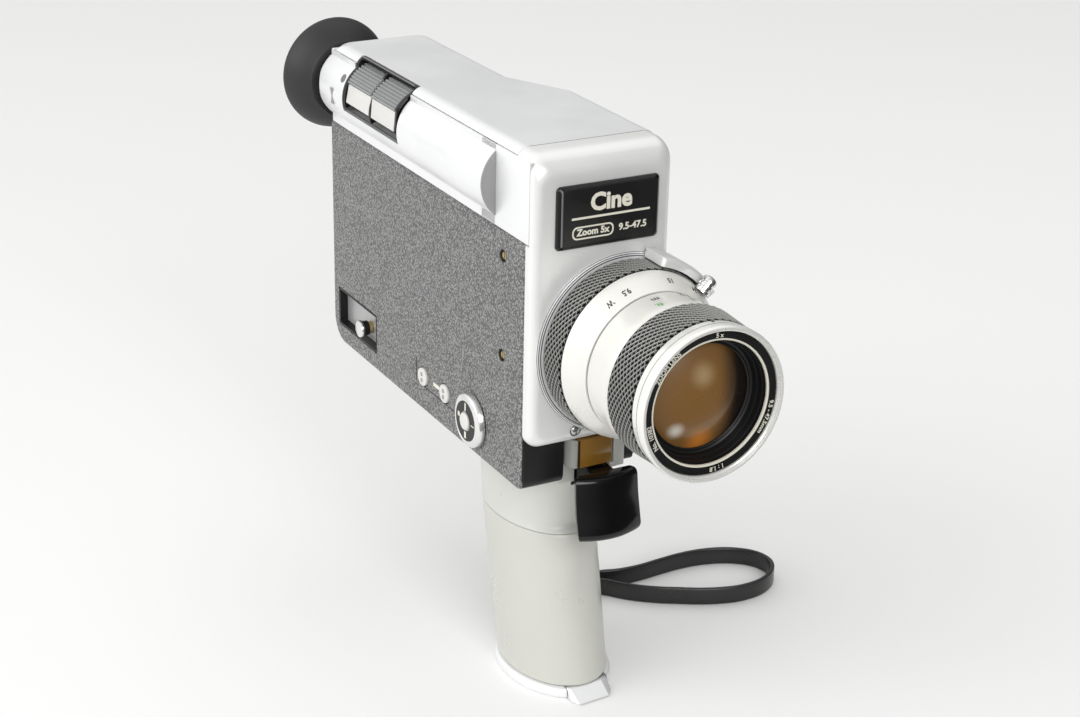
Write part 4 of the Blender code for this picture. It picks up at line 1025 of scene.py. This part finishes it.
def grip():
    low, high = 4.5, 65.0
    stations = [(low, grip_section(low, -0.5)), (low + 0.4, grip_section(low + 0.4, -0.05))]
    stations += [(z, grip_section(z)) for z in (8, 20, 32, 44, 56, 62)]
    edge = ((0.9, 0), (0.3, -0.25), (0, -0.9))
    stations += [(high - down, grip_section(high - down, grow)) for down, grow in edge]
    hollow = loft_mesh([(z, grip_section(z, -2.4)) for z in (-2, 70)], "Z")
    shell = cut(loft_mesh(stations, "Z"), hollow)
    put("grip_sleeve", shell, GRIP, "camera", ["grip_shell"])
    put("lug_block", box_mesh((-3.49, 32.2, 0.6), (3.49, 37.19, 8.79), 0.7), GRIP, "camera")
    put("lug_root", box_mesh((-3.4, 28.0, 4.7), (3.4, 36.6, 8.7), 0.4), GRIP, "camera")
    sections = [
        (65.1, -14.2, 45.1, 19.2), (65.5, -14.0, 45.2, 19.3), (66.2, -13.0, 45.3, 19.1),
        (67.3, -12.4, 45.5, 19.0), (69, -12.2, 45.8, 18.9), (74, -12.9, 46.7, 18.9), (80, -14.0, 48.0, 18.9),
        (86, -15.8, 49.0, 18.85), (91.7, -17.6, 50.0, 18.8),
    ]
    neck = loft_mesh([(z, neck_section(f, r, a)) for z, f, r, a in sections], "Z")
    head = box_mesh((-11.1, -18, 89), (11.1, 44, 103), 0.6)
    lip = box_mesh((-11.1, -18.05, 99.6), (11.1, -15.7, 110.9), 0.4)
    slot = box_mesh((-3.7, -30, 86.5), (6.2, 1, 99.2))
    put("neck_shell", cut(neck, slot), NECK, "camera", ["grip_neck"], smooth=40)
    put("neck_head", cut(head, slot.copy()), NECK, "camera")
    put("neck_lip", lip, NECK, "camera")
    cheek = [
        (-8.3, -28.2), (-9.2, -27.9), (-10.2, -26.5), (-10.9, -23.5), (-11.08, -20), (-11.08, -16.5),
        (-8.3, -16.5),
    ]
    # The cheek is the neck's plastic, darkened as painted shade.
    put("neck_cheek", prism_mesh(cheek, "Z", 99.6, 110.9, 0.3), NECK_SHADE_GREY, "camera", smooth=50)
    # A matt black box in the trigger slot: painted shade inside the slot.
    put("neck_slot_shade", box_mesh((-3.6, -15.5, 87), (6.1, 0.5, 98.9)), MATT, "camera")


def lid_outline(grow):
    return [(x, min(y, 21.3 + grow)) for x, y in ellipse(GRIP_X, GRIP_Y, 16.6 + grow, 23.9 + grow)]


def battery_end():
    def plate(z, grow):
        return z, ellipse(GRIP_X, GRIP_Y, 20.8 + grow, 28.5 + grow)

    edge = ((0, -1.1), (0.25, -0.5), (0.8, -0.1), (2.0, 0), (3.3, -0.1), (3.9, -0.45), (4.2, -0.95))
    opening = []
    for x, y in ellipse(GRIP_X, GRIP_Y, 16.9, 24.2):
        opening.append((x, min(y + 0.025 * max(0.0, y - GRIP_Y), 22.3)))
    ring = cut(
        loft_mesh([plate(z, grow) for z, grow in edge], "Z"),
        prism_mesh(opening, "Z", -5, 10),
        box_mesh((-4.9, 15, -5), (4.9, 27.2, 10)),
        box_mesh((-8.4, -40, -5), (10.7, -17, 10)),
    )
    put("base_plate", ring, SILVER, "camera", ["base_ring"])
    pin = cylinder_mesh(0.8, -6.8, 6.8, "X", LID_HINGE, 32)
    put("hinge_pin", pin, STEEL, "camera")
    lid = cut(
        prism_mesh(lid_outline(0), "Z", 0, 3.9, 0.25),
        box_mesh((-4.5, 18, 0.3), (4.5, 25.2, 3.8)),
        cylinder_mesh(1.75, -4.51, 4.51, "X", LID_HINGE, 48),
        operation="UNION",
    )
    lid = cut(lid, cylinder_mesh(1.1, -10, 10, "X", LID_HINGE, 32))
    put("lid_panel", lid, SILVER, "lid", ["battery_lid"])

    def wedge(z, side):
        return z, rounded(
            [(-8.0, -23.6, 0.05), (7.0, -23.6, 0.05), (10.3, -22.0, 0.3),
             (10.3 - 0.3 * side, -22.4 - 5.4 * side, 1.0), (7.0, -25.0 - 6.4 * side, 1.2),
             (-6.3, -25.4 - 6.9 * side, 1.0), (-8.0, -24.6 - 4.0 * side, 0.6)], 4
        )

    steps = ((0.4, 0.97), (0.7, 1.0), (1.1, 0.92), (3.9, 0.08), (4.2, 0.0))
    latch = loft_mesh([wedge(z, side) for z, side in steps], "Z")
    put("lid_catch_wedge", latch, SILVER, "lid_catch", ["lid_latch"], smooth=30)
    put("latch_notch", box_mesh((-9.6, -21.6, 4.15), (-9.0, -20.4, 5.6), 0.1), MATT, "camera")


def trigger_group():
    def plate(z, scale, push, sweep):
        front = arc(0.2, -7.5, 31.0, -115.4, -64.6, 21)
        back = [(13.3, -34.2), (12.9, -33.3), (12.2, -33.0), (-11.8, -33.0), (-12.5, -33.3), (-12.9, -34.2)]
        shares = [1 if y < -34.5 else 0.2 for _, y in front + back]
        return z, [
            (0.2 + (x - 0.2) * scale, y + sweep + push * share) for (x, y), share in zip(front + back, shares)
        ]

    steps = (
        (74.6, 0.82, 2.4, -3.8), (74.8, 0.89, 1.5, -3.8), (75.4, 0.945, 0.8, -3.7), (76.4, 0.98, 0.3, -3.6),
        (77.8, 1.0, 0, -3.4), (81, 1.0, 0, -2.6), (85, 1.0, 0, -1.6), (90, 0.99, 0, -0.7), (96.6, 0.98, 0, 0),
        (97.9, 0.965, 0.3, 0), (98.7, 0.935, 0.9, 0), (99.0, 0.90, 1.6, 0),
    )
    stations = [plate(*step) for step in steps]
    blade = loft_mesh(stations, "Z")
    put("trigger_blade", blade, GLOSS, "trigger_group", ["trigger"], smooth=40)
    arm = box_mesh((-3.2, -34.5, 88), (5.2, -12.9, 98.6), 0.4)
    put("trigger_arm", arm, GLOSS, "trigger_group")
    block = box_mesh((-7.9, -28.4, 99.5), (6.3, -18.4, 110.9), 0.5)
    put("amber_block", block, AMBER, "camera", ["amber_window"])
    # A black strip on the amber block's left front edge: painted shade.
    put("amber_edge_shade", box_mesh((-7.95, -28.46, 99.5), (-7.4, -28.3, 110.9)), BLACK, "camera")
    bar = box_mesh((7.0, -28.4, 97.4), (11.6, -25.4, 110.9), 0.6)
    hook = cut(bar, box_mesh((5.6, -28.38, 97.42), (8.4, -25.42, 99.2), 0.3), operation="UNION")
    put("lock_hook", hook, NECK, "lock", ["run_lock"])


def spline_route(points, per_leg=8):
    """A smooth line through the points."""
    ends = [points[0], *points, points[-1]]
    out = []
    for a, b, c, d in zip(ends, ends[1:], ends[2:], ends[3:]):
        for k in range(per_leg):
            t = k / per_leg
            place = []
            for i in range(2):
                square = 2 * a[i] - 5 * b[i] + 4 * c[i] - d[i]
                cube = 3 * b[i] - a[i] - 3 * c[i] + d[i]
                place.append(0.5 * (2 * b[i] + (c[i] - a[i]) * t + square * t**2 + cube * t**3))
            out.append(tuple(place))
    return [*out, points[-1]]


def wrist_strap():
    route = spline_route(STRAP_ROUTE)
    u, v = STRAP_THICK / 2, STRAP_WIDTH / 2
    section = rounded([(-u, -v, 0.6), (u, -v, 0.6), (u, v, 0.6), (-u, v, 0.6)], 4)
    bm = bmesh.new()
    rings = []
    middle = STRAP_WIDTH / 2 + STRAP_LIFT
    for i, (x, y) in enumerate(route):
        before, after = route[max(i - 1, 0)], route[min(i + 1, len(route) - 1)]
        along = Vector((after[0] - before[0], after[1] - before[1])).normalized()
        side = Vector((-along.y, along.x))
        places = [Vector((x + side.x * u, y + side.y * u, middle + w)) for u, w in section]
        rings.append([bm.verts.new(place * MM) for place in places])
    skin(bm, rings)
    bm.faces.new(rings[0])
    bm.faces.new(rings[-1])
    strap = put("strap_band", finish_bmesh(bm), STRAP, "camera", ["wrist_strap"], smooth=50)


# ---------------------------------------------------------------- CAD pieces that stay


def paint_cad():
    kept = {
        "main_casting": MATT, "bottom_cover": BLACK, "door_hinge_pin": STEEL, "variator_cell": ANODISED,
        "variator_lens": COATING, "rear_lens": COATING, "beam_splitter": CLEAR, "film_gate": STEEL,
        "pressure_plate": BLACK, "shutter_disc": ANODISED, "shutter_gear": BRASS, "drive_motor": STEEL,
        "motor_pinion": BRASS, "takeup_spindle": BLACK, "finder_tube": MATT, "battery_pack": CELL_SLEEVE,
        "trigger_spring": STEEL,
    }
    for name, mat in kept.items():
        materials = NODES[name].data.materials
        materials.clear()
        materials.append(mat)


# ---------------------------------------------------------------- stage


def paper_floor():
    floor = bpy.data.meshes.new("floor")
    size, near, depth = 6.0, -0.20, 9.0
    corners = [(-size, near, 0), (size, near, 0), (size, depth, 0), (-size, depth, 0)]
    floor.from_pydata(corners, [], [(0, 1, 2, 3)])
    obj = add_object("floor", floor)
    made, tree, shader = nodes_of("paper")
    color = two_tone(tree, noise(tree, 3), (0.86, 0.86, 0.855), (0.88, 0.88, 0.875))
    tree.links.new(color, shader.inputs["Base Color"])
    fill(shader, Roughness=0.6)
    floor.materials.append(made)


def studio_world():
    """Soft light all round, brightest from the upper left of the picture."""
    world = bpy.data.worlds.new("studio")
    world.use_nodes = True
    tree = world.node_tree
    place = add_node(tree, "TexCoord")
    toward = add_node(tree, "VectorMath", operation="DOT_PRODUCT")
    toward.inputs[1].default_value = (-0.855, 0.25, 0.453)
    tree.links.new(place.outputs["Generated"], toward.inputs[0])
    spread = add_node(tree, "MapRange")
    fill(spread, From_Min=-0.6, To_Min=WORLD_DARK, To_Max=WORLD_BRIGHT)
    tree.links.new(toward.outputs["Value"], spread.inputs["Value"])
    background = tree.nodes["Background"]
    tree.links.new(spread.outputs["Result"], background.inputs["Strength"])
    fill(background, Color=(1.0, 1.0, 0.995, 1))
    bpy.context.scene.world = world


def lamps():
    for name, place, target, size, power in LAMPS:
        lamp = bpy.data.lights.new(name, "AREA")
        lamp.shape = "RECTANGLE"
        lamp.size, lamp.size_y = size
        lamp.energy = power
        holder = add_object(name, lamp)
        holder.location = place
        holder.rotation_euler = (Vector(target) - Vector(place)).to_track_quat("-Z", "Y").to_euler()


def camera():
    lens = bpy.data.cameras.new("camera")
    lens.sensor_fit = "HORIZONTAL"
    lens.sensor_width = CAMERA_SENSOR
    lens.lens = CAMERA_LENS
    lens.clip_start = 0.01
    obj = add_object("camera", lens)
    turn = Matrix((CAMERA_RIGHT, -CAMERA_DOWN, -CAMERA_AHEAD)).transposed().to_4x4()
    obj.matrix_world = Matrix.Translation(CAMERA_PLACE) @ turn
    scene = bpy.context.scene
    scene.camera = obj
    scene.view_settings.view_transform = "Standard"


front_casting()
top_cover()
side_shell()
side_cover()
film_door()
screws()
nameplate()
zoom_rings()
focus_rings()
glass_group()
finder()
zoom_keys()
side_controls()
grip()
battery_end()
trigger_group()
wrist_strap()
paint_cad()
paper_floor()
studio_world()
lamps()
camera()
